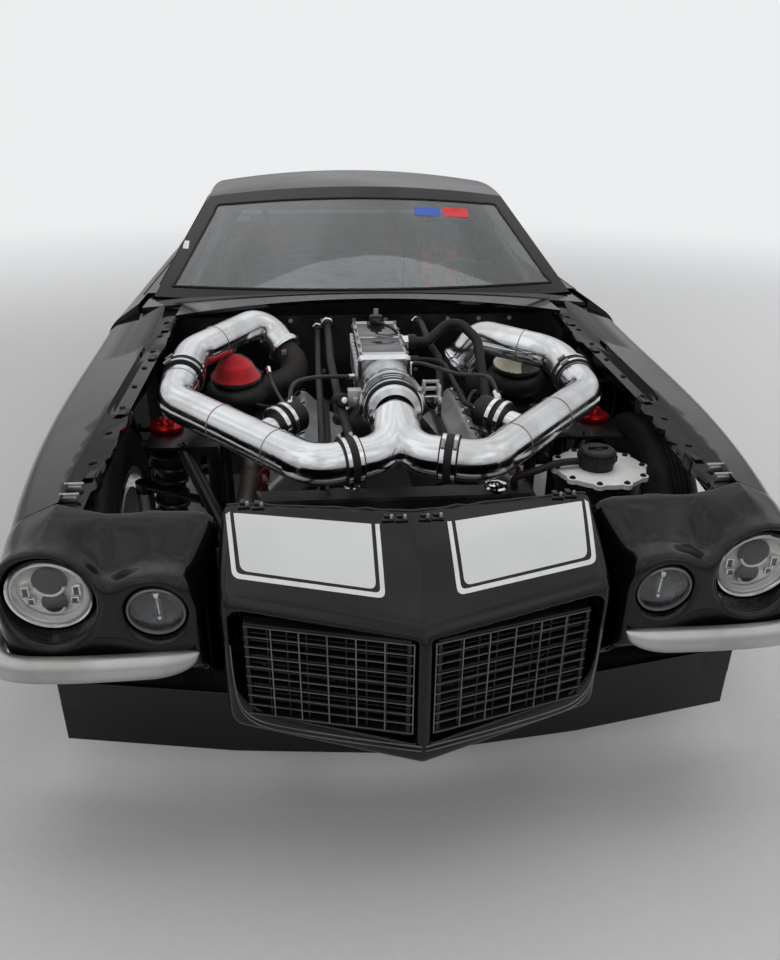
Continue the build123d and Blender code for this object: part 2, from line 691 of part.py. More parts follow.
def build_tail():
    """Deck lid with its spoiler and hinges, rear deck, tail panel, rear bumper and lamps."""
    sections = []
    for s in (DECK_FRONT, 4300.0, DECK_REAR):
        half, z = body_at(s)[-2] - DOOR_GAP, body_at(s)[-1]
        sections.append(lid_section(s, half, z, 30))
    lid = loft(sections)
    half = body_at(DECK_REAR)[-2] - DOOR_GAP
    blade = face(at_side(-half), [
        (4490, 868), (DECK_REAR - 10, 930), (DECK_REAR + 4, 930), (DECK_REAR, 850), (4490, 850),
    ])
    lid += extrude(blade, amount=2 * half, dir=(1, 0, 0))
    sections = []
    for s in (3780.0, 3870.0, DECK_FRONT - PANEL_GAP):
        half, z = body_at(s)[-2] - 2 * SEAT, body_at(s)[-1]
        sections.append(lid_section(s, half, z, 12))
    deck = loft(sections) - greenhouse(-SEAT)
    for x in (-LID_HINGE_X, LID_HINGE_X):
        for x0, x1 in ((x - 18, x - 6.3), (x + 6.3, x + 18)):
            deck += block(x0, x1, LID_HINGE_S - 30, LID_HINGE_S, LID_HINGE_Z - 12, LID_HINGE_Z)
            deck += drum(x0, x1, LID_HINGE_S, LID_HINGE_Z, LID_EYE_R)
        deck += drum(x - 18, x + 18, LID_HINGE_S, LID_HINGE_Z, LID_PIN_R)
        lid += block(x - 6, x + 6, LID_HINGE_S, LID_HINGE_S + 34, LID_HINGE_Z - 14, LID_HINGE_Z - 1)
        lid += drum(x - 6, x + 6, LID_HINGE_S, LID_HINGE_Z, LID_EYE_R)
        eye_low = LID_HINGE_Z - LID_EYE_R
        lid -= block(x - 7, x + 7, LID_HINGE_S - 20, LID_HINGE_S + 5, LID_HINGE_Z - 60, eye_low)
        lid -= drum(x - 7, x + 7, LID_HINGE_S, LID_HINGE_Z, LID_PIN_R + PIN_FIT)
    node("deck_lid", lid)
    node("rear_deck", deck)
    front = QUARTER_REAR + SEAT
    tail = face(at_station(front), [
        (-780, 330), (780, 330), (842, 570), (800, 815), ((0, 850), (-800, 815)), (-842, 570),
    ])
    panel = extrude(tail, amount=TAIL_THICK, dir=(0, 1, 0))
    lamps = []
    for x in (-560, -390, 390, 560):
        panel -= along(x, LAMP_Z, front - 1, front + TAIL_THICK + 1, LAMP_R)
        lamps.append(along(x, LAMP_Z, front - 5, front + TAIL_THICK + 5, LAMP_R - SEAT))
    node("tail_panel", panel)
    node("tail_lamps", *lamps)
    s = front + TAIL_THICK + SEAT + 25
    path = FilletPolyline((-912, 4560, 455), (-885, s, 455), (885, s, 455), (912, 4560, 455), radius=50)
    node("rear_bumper", sweep((path ^ 0) * RectangleRounded(50, 96, 14), path=path))


def tyre(radius, wide, rim_wide):
    """Tyre with rounded shoulders, open inside, bead to bead on the rim."""
    half, bead = wide / 2, rim_wide / 2
    shoulder = radius - 30
    lip = RIM_R + RIM_LIP + SEAT
    wall = RIM_R + (radius - RIM_R) * 0.45
    right = [
        (RIM_R, bead - SEAT), (lip, bead - SEAT), (lip + 2, half - 6),
        ((wall, half), (shoulder, half - 6)),
        ((radius - 8, half - 14), (radius, half - 32)),
    ]
    left = [
        (radius, 32 - half), ((radius - 8, 14 - half), (shoulder, 6 - half)),
        ((wall, -half), (lip + 2, 6 - half)),
        (lip, SEAT - bead), (RIM_R, SEAT - bead),
    ]
    inner = [
        (RIM_R, 14 - bead), (lip + 8, 20 - half), (shoulder - 4, 20 - half), (radius - 12, 42 - half),
        (radius - 12, half - 42), (shoulder - 4, half - 20), (lip + 8, half - 20), (RIM_R, bead - 14),
    ]
    outline = right + left + inner
    place = lambda r, x: (x, 0, r)
    return revolve(face(place, outline), axis=Axis.X)


def rim(rim_wide, dish):
    """Rim barrel with a spoked centre, its bore on the spindle."""
    half = rim_wide / 2
    barrel = face(lambda r, x: (x, 0, r), [
        (RIM_R + RIM_LIP, -half - RIM_WALL), (RIM_R + RIM_LIP, -half),
        (RIM_R - SEAT, -half), (RIM_R - SEAT, half),
        (RIM_R + RIM_LIP, half), (RIM_R + RIM_LIP, half + RIM_WALL),
        (RIM_R - 8, half + RIM_WALL), (RIM_R - 8, -half - RIM_WALL),
    ])
    wheel = revolve(barrel, axis=Axis.X)
    x = half - dish
    wheel += drum(x - 18, x + 22, 0, 0, HUB_R)
    for k in range(SPOKES):
        angle = 360.0 * k / SPOKES
        spoke = face(at_side(x - 6), [(-24, 40), (24, 40), (17, RIM_R - 4), (-17, RIM_R - 4)])
        wheel += Rot(angle, 0, 0) * extrude(spoke, amount=18, dir=(1, 0, 0))
    return wheel


def build_wheels():
    """Four tyres on spoked rims; each rim carries its brake disc and hub bore."""
    front_x0 = FRONT_WHEEL_X - FRONT_RIM_WIDE / 2
    hub_x = FRONT_RIM_WIDE / 2 - 40
    front = rim(FRONT_RIM_WIDE, 40) + drum(-52, hub_x, 0, 0, 36)
    front += drum(-52, -52 + DISC_THICK, 0, 0, DISC_R)
    front -= drum(-200, hub_x + 12, 0, 0, SPINDLE_R + SPINDLE_FIT)
    rear = rim(REAR_RIM_WIDE, 120) + drum(-REAR_RIM_WIDE / 2 + 4, REAR_RIM_WIDE / 2 - 120, 0, 0, 40)
    rear -= drum(-300, REAR_RIM_WIDE / 2 - 110, 0, 0, SPINDLE_R + SPINDLE_FIT)
    front_rubber = tyre(FRONT_TYRE_R, FRONT_TYRE_WIDE, FRONT_RIM_WIDE)
    rear_rubber = tyre(REAR_TYRE_R, REAR_TYRE_WIDE, REAR_RIM_WIDE)
    kinds = (
        ("front", front, front_rubber, FRONT_WHEEL_X, FRONT_AXLE, FRONT_TYRE_R),
        ("rear", rear, rear_rubber, REAR_WHEEL_X, REAR_AXLE, REAR_TYRE_R),
    )
    for end, wheel, rubber, x, s, z in kinds:
        place = Pos(x, s, z)
        for side, shape_rim, shape_tyre in (
            ("left", place * wheel, place * rubber),
            ("right", mirror(place * wheel, about=Plane.YZ), mirror(place * rubber, about=Plane.YZ)),
        ):
            node(f"rim_{end}_{side}", shape_rim)
            node(f"tyre_{end}_{side}", shape_tyre)


def build_front_axle():
    """Knuckles, control arms with coilovers, and the steering rack with its tie rods."""
    spindle_end = FRONT_WHEEL_X + FRONT_RIM_WIDE / 2 - 40 + 8
    knuckle = post(KINGPIN_X, FRONT_AXLE, KINGPIN_LOW, KINGPIN_HIGH, KINGPIN_R + 8)
    knuckle += drum(KINGPIN_X, spindle_end, FRONT_AXLE, FRONT_TYRE_R, SPINDLE_R)
    knuckle += drum(KINGPIN_X, FRONT_WHEEL_X - 52 - 6, FRONT_AXLE, FRONT_TYRE_R, 34)
    arm_s = FRONT_AXLE - STEER_ARM
    knuckle += block(KINGPIN_X - 12, KINGPIN_X + 12, arm_s, FRONT_AXLE, ROD_Z - 12, ROD_Z + 12)
    left, right = both(knuckle)
    node("knuckle_left", left)
    node("knuckle_right", right)
    pieces = []
    for pivot_x, pivot_z, spread, ball_z in (
        (RAIL_X + RAIL_WIDE / 2 + BUSH_R + SEAT, ARM_LOW_Z, 130, KINGPIN_LOW - 17),
        (TOWER_X + CLIP_R + BUSH_R + SEAT, ARM_HIGH_Z, 125, KINGPIN_HIGH + 17),
    ):
        ball = (KINGPIN_X, FRONT_AXLE, ball_z)
        arm = post(KINGPIN_X, FRONT_AXLE, ball_z - 16.7, ball_z + 16.7, 24)
        for way in (-spread, spread):
            arm += bar((pivot_x, FRONT_AXLE + way, pivot_z), ball, BUSH_R - 1)
            arm += along(pivot_x, pivot_z, FRONT_AXLE + way - 20, FRONT_AXLE + way + 20, BUSH_R)
        if ball_z < ARM_HIGH_Z - 100:
            arm += along(COIL_X, ARM_LOW_Z - 8, FRONT_AXLE - 40, FRONT_AXLE + 40, 11)
        pieces.append(arm)
    foot, head = (COIL_X, FRONT_AXLE, ARM_LOW_Z + 6), (COIL_X - 12, FRONT_AXLE, TOWER_TOP - 2)
    coil = bar(foot, head, 18) + bar((COIL_X - 3, FRONT_AXLE, 320), (COIL_X - 11, FRONT_AXLE, 600), COIL_R)
    pieces.append(coil)
    node("front_suspension", *[piece for shape in pieces for piece in both(shape)])
    rack = drum(-300, 300, RACK_S, RACK_Z, 26)
    node("steering_rack", rack - drum(-301, 301, RACK_S, RACK_Z, RACK_ROD_R + SPINDLE_FIT))
    rods = drum(-374, 374, RACK_S, RACK_Z, RACK_ROD_R)
    for side in (-1, 1):
        end = (side * KINGPIN_X, FRONT_AXLE - STEER_ARM - 18, ROD_Z)
        rods += bar((side * 366, RACK_S, RACK_Z), end, 9) + post(*end[:2], ROD_Z - 12, ROD_Z + 12, 14)
    node("tie_rods", rods)


def build_rear_axle():
    """Rear axle housing with its differential and stub shafts, links, coilovers and driveline."""
    stub_end = REAR_WHEEL_X + REAR_RIM_WIDE / 2 - 115
    inner = REAR_WHEEL_X - REAR_RIM_WIDE / 2 - 12
    axle = drum(-inner, inner, REAR_AXLE, REAR_TYRE_R, 40)
    axle += drum(-stub_end, stub_end, REAR_AXLE, REAR_TYRE_R, SPINDLE_R)
    axle += along(0, REAR_TYRE_R, REAR_AXLE - 150, REAR_AXLE + 120, 130)
    links = []
    link_x = RAIL_X - RAIL_WIDE / 2 - 16 - 2 * SEAT
    for side in (-1, 1):
        under = REAR_TYRE_R - 40 - 16 - 2 * SEAT
        links.append(bar((side * link_x, 3070, 215), (side * link_x, REAR_AXLE, under), 16))
        foot, head = (side * 510, REAR_AXLE + 68, 300), (side * 496, REAR_AXLE + 80, TRUNK_FLOOR_Z - 2)
        links.append(bar(foot, head, 24))
    node("rear_axle", axle, *links)
    box = along(0, GEARBOX_Z, ENGINE_FRONT + ENGINE_LONG + SEAT, 1560, 170)
    box += along(0, GEARBOX_Z, 1560, 2000, GEARBOX_R) + along(0, GEARBOX_Z, 2000, 2200, 64)
    shaft = bar((0, 2201.2, GEARBOX_Z), (0, REAR_AXLE - 151.2, REAR_TYRE_R), 38)
    node("driveline", box, shaft)


def build_frame():
    """Main rails with cross members, cage, floor and wheel tubs."""
    rails = []
    for side in (-1, 1):
        points = [
            (side * RAIL_NOSE_X, 300, RAIL_NOSE_Z), (side * RAIL_NOSE_X, 640, RAIL_NOSE_Z),
            (side * RAIL_X, 900, RAIL_Z + 10),
            (side * RAIL_X, 1500, RAIL_Z - 30), (side * RAIL_X, 3050, RAIL_Z - 30),
            (side * RAIL_X, 3360, 520), (side * RAIL_X, 4000, 520), (side * RAIL_X, 4500, 440),
            (side * RAIL_X, QUARTER_REAR, 440),
        ]
        path = FilletPolyline(*points, radius=60)
        start = Plane(origin=path @ 0, x_dir=(1, 0, 0), z_dir=path % 0)
        rails.append(sweep(start * Rectangle(RAIL_WIDE, RAIL_HIGH), path=path))
    frame = rails[0] + rails[1]
    for s, z, reach in (
        (440, RAIL_NOSE_Z, RAIL_NOSE_X), (FRONT_AXLE, RAIL_Z + 2, RAIL_X), (1700, RAIL_Z - 30, RAIL_X),
        (2900, RAIL_Z - 30, RAIL_X), (4500, 448, RAIL_X),
    ):
        frame += drum(-reach, reach, s, z, 24)
    for side in (-1, 1):
        frame += bar((side * 330, 500, 320), (side * 560, 850, TOWER_TOP), CLIP_R)
        frame += bar((side * 580, 1060, TOWER_TOP), (side * 636, 1549, 700), CLIP_R)
        for way in (-125, 125):
            frame += post(side * TOWER_X, FRONT_AXLE + way, 236, TOWER_TOP, CLIP_R)
            s = FRONT_AXLE + way
            frame += block(side * RAIL_X, side * TOWER_X, s - 16, s + 16, 222, 256)
        s0, s1 = FRONT_AXLE - 140, FRONT_AXLE + 140
        frame += block(side * (TOWER_X - 15), side * 655, s0, s1, TOWER_TOP, TOWER_TOP + 8)
        nose_wall = NOSE_HALF - POD_WALL - SEAT
        frame += block(side * RAIL_NOSE_X, side * nose_wall, 304, 334, RAIL_NOSE_Z + 18, RAIL_NOSE_Z + 38)
        frame += block(side * 262, side * 292, RACK_S - 12, RACK_S + 12, RACK_Z + 26 + SEAT, RACK_Z + 66)
        frame += block(side * 262, side * 345, RACK_S - 12, RACK_S + 12, RACK_Z + 50, RACK_Z + 66)
    plate = block(-352, 352, ENGINE_FRONT - SEAT - 6, ENGINE_FRONT - SEAT, 262, 478)
    frame += plate - along(0, CRANK_Z, ENGINE_FRONT - 20, ENGINE_FRONT + 20, 60)
    for side in (-1, 1):
        for s in JACK_PADS:
            frame += block(side * (RAIL_X - 30), side * (RAIL_X + 30), s - 45, s + 45, JACK_Z, RAIL_Z - 60)
    frame += block(-70, 70, 1676, 1724, RAIL_Z - 30, GEARBOX_Z - GEARBOX_R - SEAT)
    shelf = TANK_LOW - SEAT
    frame += block(440, 600, 600, 735, shelf - 8, shelf) + block(470, 490, 715, 735, 530, shelf - 8)
    node("chassis_frame", frame)
    foot = FLOOR_Z + FLOOR_THICK + SEAT
    cage = tube([
        (-640, 2930, foot), (-640, 2930, 800), (-520, 2930, 1120),
        (520, 2930, 1120), (640, 2930, 800), (640, 2930, foot),
    ], 90, CAGE_R)
    stay_foot = TRUNK_FLOOR_Z + FLOOR_THICK + SEAT + CAGE_R * 0.84
    for side in (-1, 1):
        leg = [
            (side * 500, 2930, 1118), (side * 505, 2330, 1112),
            (side * 640, 1830, 860), (side * 650, 1760, foot - 30),
        ]
        cage += tube(leg, 90, CAGE_R) - block(-700, 700, 1700, 1800, foot - 60, foot)
        cage += bar((side * 640, 2930, 500), (side * 648, 1790, 420), CAGE_R)
        cage += bar((side * 420, 2930, 1110), (side * RAIL_X, 3700, stay_foot), CAGE_R)
    cage += drum(-641, 641, DASH_BAR_S, DASH_BAR_Z, CAGE_R)
    cage += bar((-505, 2330, 1112), (505, 2330, 1112), CAGE_R)
    cage += bar((-640, 2930, 620), (640, 2930, 620), CAGE_R)
    node("roll_cage", cage)
    top = FLOOR_Z + FLOOR_THICK
    floor = block(-FLOOR_HALF, FLOOR_HALF, FLOOR_FRONT, FLOOR_REAR, FLOOR_Z, top)
    humps = ((FLOOR_FRONT, TUNNEL_STEP, TUNNEL_FRONT_R), (TUNNEL_STEP, FLOOR_REAR, TUNNEL_REAR_R))
    for s0, s1, radius in humps:
        floor -= along(0, FLOOR_Z, s0 - 1, s1 + 1, radius - 1)
        ring = along(0, FLOOR_Z, s0, s1, radius) - along(0, FLOOR_Z, s0 - 1, s1 + 1, radius - FLOOR_THICK)
        floor += ring & block(-400, 400, s0, s1, FLOOR_Z, 900)
    step = along(0, FLOOR_Z, TUNNEL_STEP - FLOOR_THICK, TUNNEL_STEP, TUNNEL_FRONT_R)
    step -= along(0, FLOOR_Z, TUNNEL_STEP - 10, TUNNEL_STEP + 10, TUNNEL_REAR_R - FLOOR_THICK)
    floor += step & block(-400, 400, 2100, 2200, FLOOR_Z, 900)
    wall = block(-560, 560, FLOOR_REAR, FLOOR_REAR + FLOOR_THICK, FLOOR_Z, TRUNK_FLOOR_Z)
    floor += wall - along(0, FLOOR_Z, FLOOR_REAR - 10, FLOOR_REAR + 10, TUNNEL_REAR_R - FLOOR_THICK)
    floor += block(-560, 560, FLOOR_REAR, TRUNK_REAR, TRUNK_FLOOR_Z, TRUNK_FLOOR_Z + FLOOR_THICK)
    node("floor_pan", floor)


def bank(side):
    """Placing of one cylinder bank, its own Z running up the bank."""
    return Pos(0, 0, CRANK_Z) * Rot(0, side * BANK_ANGLE, 0)


def charge_route(side):
    """Centre line points of one charge pipe, from the throttle to its turbo."""
    shared = [
        (0, THROTTLE_S - SEAT, THROTTLE_Z), (0, THROTTLE_S - 43, THROTTLE_Z),
        (side * 22, 560, 737), (side * 205, 508, 731),
    ]
    if side < 0:
        return shared + [(-575, 885, 770), (-556, 1175, 818), (-362, 1472, 842), (-292, 1402, 764)]
    return shared + [(562, 880, 768), (540, 1135, 808), (330, 1276, 832), (268, 1292, 742)]


def between(a, b, distance):
    """Point and unit direction at a distance from a towards b."""
    way = (Vector(*b) - Vector(*a)).normalized()
    return Vector(*a) + way * distance, way


def sleeve(a, b, distance, long):
    """Short ring round a charge pipe, from a distance along a straight run."""
    start, way = between(a, b, distance)
    place = Plane(origin=start + way * (long / 2), z_dir=way)
    return place * (Cylinder(COUPLER_R, long) - Cylinder(PIPE_R + SEAT, long + 2))


def build_charge_pipes():
    """Both charge pipes from the throttle, their couplings and blow-off valves."""
    pipes = None
    sleeves, valves = [], []
    for side in (-1, 1):
        route = charge_route(side)
        path = FilletPolyline(*route, radius=CHARGE_BENDS)
        pipe = sweep((path ^ 0) * Circle(PIPE_R), path=path)
        root, way = between(route[3], route[4], 215)
        out = Vector(-side * abs(way.Y), abs(way.X), 0.12).normalized()
        boss = Plane(origin=root + out * 35, z_dir=out)
        pipe += boss * Pos(0, 0, 25) * Cylinder(29, 50)
        valve = boss * Pos(0, 0, 50 + SEAT + 36) * Cylinder(44, 72)
        valve += boss * Pos(0, 0, 50 + SEAT + 30) * Cylinder(46, 18)
        valve += boss * Pos(0, 0, 50 + SEAT + 78) * Cylinder(30, 14)
        valves.append(valve)
        pipes = pipe if pipes is None else pipes + pipe
        sleeves.append(sleeve(route[2], route[3], 78, COUPLER_LONG))
        sleeves.append(sleeve(route[5], route[4], 118, COUPLER_LONG))
    node("charge_pipes", pipes)
    node("pipe_couplings", *sleeves)
    node("blowoff_valves", *valves)


def build_turbos():
    """Turbochargers with tilted shafts, their padded caps and the exhaust headers that carry them."""
    turbos, caps, headers = [], [], []
    for side, (x, s) in ((1, TURBO_LEFT), (-1, TURBO_RIGHT)):
        place = Pos(x, s, TURBO_Z) * Rot(TURBO_TILT, 0, 0)
        housing = Torus(SCROLL_R, SCROLL_TUBE) + Pos(0, 0, -8) * Cylinder(SCROLL_R, 48)
        housing += Pos(0, 0, 6) * Cylinder(62, 32) + Pos(0, 0, -52) * Cylinder(44, 60)
        housing += Pos(0, 0, -98) * (Torus(52, 30) + Cylinder(54, 50)) + Pos(0, 0, -136) * Cylinder(42, 40)
        turbo = place * housing
        end = Vector(*charge_route(side)[-1])
        last = Vector(*charge_route(side)[-2])
        way = (end - last).normalized()
        start = end + way * SEAT
        elbow = end + way * 112
        inlet = Vector(x - side * 40, s - side * 8, TURBO_Z - 15)
        path = FilletPolyline(start, elbow, inlet, radius=56)
        under = place * Pos(0, 0, SCROLL_TUBE - 1 + CAP_TIP / 2) * Cylinder(CAP_R + SEAT, CAP_TIP)
        turbo += sweep((path ^ 0) * Circle(44), path=path) - under
        turbos.append(turbo)
        foot = SCROLL_TUBE + SEAT
        skirt = Pos(0, 0, (foot + CAP_BASE) / 2) * Cylinder(CAP_R, CAP_BASE - foot)
        cone = Pos(0, 0, (CAP_BASE + CAP_TIP) / 2) * Cone(CAP_R, 6, CAP_TIP - CAP_BASE)
        caps.append(place * (skirt + cone))
        turbine = (place * Pos(0, 0, -98)).position
        flange_s = turbine.Y - 92
        log = tube([
            (side * LOG_X, ENGINE_FRONT + 60, LOG_Z), (side * LOG_X, flange_s - 150, LOG_Z),
            (x - side * 30, flange_s, turbine.Z),
        ], 90, LOG_R)
        for k in range(4):
            port_s = ENGINE_FRONT + 75 + 125 * k
            mouth = (bank(side) * Pos(side * (HEAD_HALF + SEAT), port_s, 268)).position
            out = Vector(side * 0.7071, 0, -0.7071)
            bend = mouth + out * 46
            runner = FilletPolyline(mouth, bend, Vector(side * LOG_X, port_s + 24, LOG_Z), radius=34)
            log += sweep((runner ^ 0) * Circle(PORT_R), path=runner)
            log += Plane(origin=mouth + out * 4, z_dir=out) * Box(62, 62, 8)
        headers.append(log)
    node("turbochargers", *turbos)
    node("turbo_caps", *caps)
    node("exhaust_headers", *headers)


def build_engine():
    """Engine block with heads, covers, intake, throttle, radiator and tank."""
    rear = ENGINE_FRONT + ENGINE_LONG
    engine = block(-190, 190, ENGINE_FRONT, rear, CRANK_Z - 60, DECK_Z)
    engine += block(-150, 150, ENGINE_FRONT + 20, rear - 20, SUMP_Z, CRANK_Z - 60)
    engine += along(0, CRANK_Z, ENGINE_FRONT - 44, ENGINE_FRONT, 30)
    pulley = along(0, CRANK_Z, ENGINE_FRONT - 46, ENGINE_FRONT - 14, 84)
    for k in range(3):
        groove = along(0, CRANK_Z, ENGINE_FRONT - 42 + 8 * k, ENGINE_FRONT - 38 + 8 * k, 90)
        pulley -= groove - along(0, CRANK_Z, ENGINE_FRONT - 50, ENGINE_FRONT, 78)
    engine += pulley
    covers = []
    for side in (-1, 1):
        engine += bank(side) * block(-HEAD_HALF, HEAD_HALF, ENGINE_FRONT, rear, 60, HEAD_TOP)
        cover = block(-COVER_HALF, COVER_HALF, ENGINE_FRONT + 20, rear - 20, HEAD_TOP + SEAT, COVER_TOP)
        cover = fillet(cover.edges().group_by(Axis.Z)[-1], 16)
        for k in range(7):
            rib_s = ENGINE_FRONT + 60 + 73 * k
            reach = COVER_HALF - 18
            cover += block(-reach, reach, rib_s - 4, rib_s + 4, COVER_TOP - 1, COVER_TOP + 5)
        covers.append(bank(side) * cover)
    node("engine_block", engine)
    node("valve_covers", *covers)
    inner = HEAD_HALF * math.sqrt(2) + SEAT * 2
    valley = DECK_Z + SEAT
    flange = 640.0
    base = face(at_station(PLENUM_FRONT), [
        (valley - CRANK_Z - inner, valley), (flange - CRANK_Z - inner, flange),
        (148, 656), (62, PLENUM_LOW), (-62, PLENUM_LOW), (-148, 656),
        (inner + CRANK_Z - flange, flange), (inner + CRANK_Z - valley, valley),
    ])
    manifold = extrude(base, amount=rear - 30 - PLENUM_FRONT, dir=(0, 1, 0))
    x0, x1 = PLENUM_X - PLENUM_WIDE / 2, PLENUM_X + PLENUM_WIDE / 2
    box = block(x0, x1, PLENUM_FRONT, PLENUM_REAR, PLENUM_LOW, PLENUM_TOP)
    box = fillet(box.edges().filter_by(Axis.Y).group_by(Axis.Z)[-1], 14)
    box = chamfer(box.faces().sort_by(Axis.Y)[0].edges().group_by(Axis.Z)[-1], 10)
    long = (PLENUM_REAR - PLENUM_FRONT - 84) / 2
    for s in (PLENUM_FRONT + 34, PLENUM_FRONT + 50 + long):
        box -= block(x0 + 14, x1 - 14, s, s + long, PLENUM_TOP - 5, PLENUM_TOP + 1)
    manifold += box
    profile = [(0, THROTTLE_S)] + [(r, THROTTLE_S + d) for d, r in THROTTLE_RINGS]
    profile += [(0, PLENUM_FRONT)]
    neck = revolve(face(lambda r, s: (r, s, 0), profile), axis=Axis.Y)
    node("intake_manifold", manifold)
    throttle = Pos(0, 0, THROTTLE_Z) * neck
    throttle -= block(-200, 200, PLENUM_FRONT - SEAT, PLENUM_FRONT + 50, 600, 1000)
    throttle += block(60, 128, THROTTLE_S + 26, THROTTLE_S + 34, THROTTLE_Z - 6, THROTTLE_Z + 8)
    throttle += block(118, 128, THROTTLE_S - 4, THROTTLE_S + 34, THROTTLE_Z - 40, THROTTLE_Z + 14)
    node("throttle_body", throttle)
    low = RAIL_NOSE_Z + RAIL_HIGH / 2 + SEAT
    s0, s1 = RADIATOR_S, RADIATOR_S + RADIATOR_THICK
    core = RADIATOR_HALF - 46
    radiator = block(-core, core, s0 + 6, s1 - 6, low + 14, RADIATOR_TOP - 6)
    for side in (-1, 1):
        radiator += block(side * core, side * RADIATOR_HALF, s0, s1, low, RADIATOR_TOP - 10)
        fan = along(side * 145, 480, s1 - 6, s1 + 24, 132) - along(side * 145, 480, s1 + 2, s1 + 40, 122)
        fan += along(side * 145, 480, s1, s1 + 22, 38)
        for k in range(7):
            turn = Pos(side * 145, s1 + 13, 480) * Rot(0, 360.0 * k / 7, 0)
            fan += turn * Pos(80, 0, 0) * Rot(28, 0, 0) * Box(92, 4, 14)
        radiator += fan
    radiator += block(-RADIATOR_HALF, RADIATOR_HALF, s0, s1, RADIATOR_TOP - 10, RADIATOR_TOP)
    node("radiator", radiator)
    tank = post(TANK_X, TANK_S, TANK_LOW, TANK_TOP, 108) + post(TANK_X, TANK_S, TANK_TOP, TANK_TOP + 10, 116)
    for k in range(10):
        a = math.radians(36 * k)
        tank += post(TANK_X + 112 * math.cos(a), TANK_S + 112 * math.sin(a), TANK_TOP, TANK_TOP + 10, 14)
    tank += post(TANK_X - 10, TANK_S, TANK_TOP + 10, TANK_TOP + 58, 44)
    tank += post(TANK_X - 10, TANK_S, TANK_TOP + 30, TANK_TOP + 50, 48)
    node("coolant_tank", tank)
    build_charge_pipes()
    build_turbos()
    node("engine_hoses", *[tube(route, list(bends), radius) for radius, bends, route in HOSES])


def build_cabin():
    """Seat, dash with its steering column, and steering wheel."""
    foot = FLOOR_Z + FLOOR_THICK + SEAT
    seat = block(230, 600, 2330, 2780, foot, 420)
    back = block(230, 600, 2720, 2860, 420, 1000)
    node("seat", seat + back)
    dash = block(-610, 610, DASH_BAR_S + CAGE_R + SEAT, 1960, 700, 845)
    hub, lean = Vector(400, 2130, 770), Vector(0, -0.9396926, -0.3420201)
    column = bar(hub + lean * 10.3, hub + lean * 195, 22)
    node("dash", dash + column)
    place = Pos(*hub) * Rot(20, 0, 0)
    wheel = place * Rot(90, 0, 0) * (Torus(160, 14) + Cylinder(30, 20) + Box(310, 24, 8))
    node("steering_wheel", wheel)


def main():
    """Build every sub-part and write it with the origin under the middle of the car."""
    build_panels()
    build_greenhouse()
    build_nose()
    build_tail()
    build_wheels()
    build_front_axle()
    build_rear_axle()
    build_frame()
    build_engine()
    build_cabin()
    os.makedirs("parts", exist_ok=True)
    for name, shape in NODES.items():
        export_step(Pos(0, NOSE_Y, 0) * shape, f"parts/{name}.step")


main()
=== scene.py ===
"""Looks of the twin-turbo drag racing coupe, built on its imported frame."""
import logging
import math
from dataclasses import dataclass
from enum import Enum
from typing import Callable, Iterable, Optional, Sequence, Union

import bmesh
import bpy
import numpy as np
from mathutils import Matrix, Vector
from mathutils.bvhtree import BVHTree


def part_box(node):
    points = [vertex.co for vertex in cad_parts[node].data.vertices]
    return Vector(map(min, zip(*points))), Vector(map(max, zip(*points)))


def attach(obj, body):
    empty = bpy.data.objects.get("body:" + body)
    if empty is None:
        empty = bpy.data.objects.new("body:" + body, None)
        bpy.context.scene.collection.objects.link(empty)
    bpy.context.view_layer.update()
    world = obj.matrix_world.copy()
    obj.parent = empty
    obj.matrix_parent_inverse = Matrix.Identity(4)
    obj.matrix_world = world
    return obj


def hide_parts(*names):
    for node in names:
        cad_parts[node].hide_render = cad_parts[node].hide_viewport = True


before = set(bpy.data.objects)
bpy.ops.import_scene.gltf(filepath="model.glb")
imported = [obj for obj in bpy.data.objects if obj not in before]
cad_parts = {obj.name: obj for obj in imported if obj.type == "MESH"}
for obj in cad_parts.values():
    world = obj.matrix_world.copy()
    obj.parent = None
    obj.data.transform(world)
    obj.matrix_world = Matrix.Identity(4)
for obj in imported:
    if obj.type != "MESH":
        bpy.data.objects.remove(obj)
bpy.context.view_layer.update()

NOSE_Y = -2.3875
MM = 0.001
UP, DOWN = Vector((0, 0, 1)), Vector((0, 0, -1))
AHEAD, BACK = Vector((0, -1, 0)), Vector((0, 1, 0))
SIDES = (("left", 1), ("right", -1))
log = logging.getLogger("coupe")

Point = Sequence[float]
Field = np.ndarray
Spots = Sequence[tuple[Vector, Vector]]
Socket = Union[str, int]


def place(x: float, s: float, z: float) -> Vector:
    """Point in metres from width, station behind the nose tip and height in millimetres."""
    return Vector((x / 1000.0, s / 1000.0 + NOSE_Y, z / 1000.0))


def along(points: Iterable[Point]) -> list[Vector]:
    """Places of several points in millimetres."""
    return [place(*point) for point in points]


def around(count: int, shift: float = 0.0) -> list[tuple[float, float]]:
    """Cosine and sine of even steps round a circle, shifted by a share of a step."""
    return [(math.cos(a), math.sin(a)) for a in (2 * math.pi * (k + shift) / count for k in range(count))]


def circle(middle: Vector, u: Vector, v: Vector, radius: float, count: int,
           shift: float = 0.0) -> list[Vector]:
    """Points round a middle, from two crosswise unit vectors and a radius in millimetres."""
    return [middle + (u * c + v * d) * (radius * MM) for c, d in around(count, shift)]


def hoops(rows: int, count: int) -> list[list[int]]:
    """Faces between rings of points that follow each other, with both ends closed."""
    pairs = [(i * count, k, (k + 1) % count) for i in range(rows - 1) for k in range(count)]
    faces = [[row + k, row + n, row + count + n, row + count + k] for row, k, n in pairs]
    return faces + [list(range(count))[::-1], [(rows - 1) * count + k for k in range(count)]]


def quilt(across: int, down: int) -> list[list[int]]:
    """Faces of a flat grid with so many faces across and down."""
    row = across + 1
    return [[j * row + i, j * row + i + 1, (j + 1) * row + i + 1, (j + 1) * row + i]
            for j in range(down) for i in range(across)]


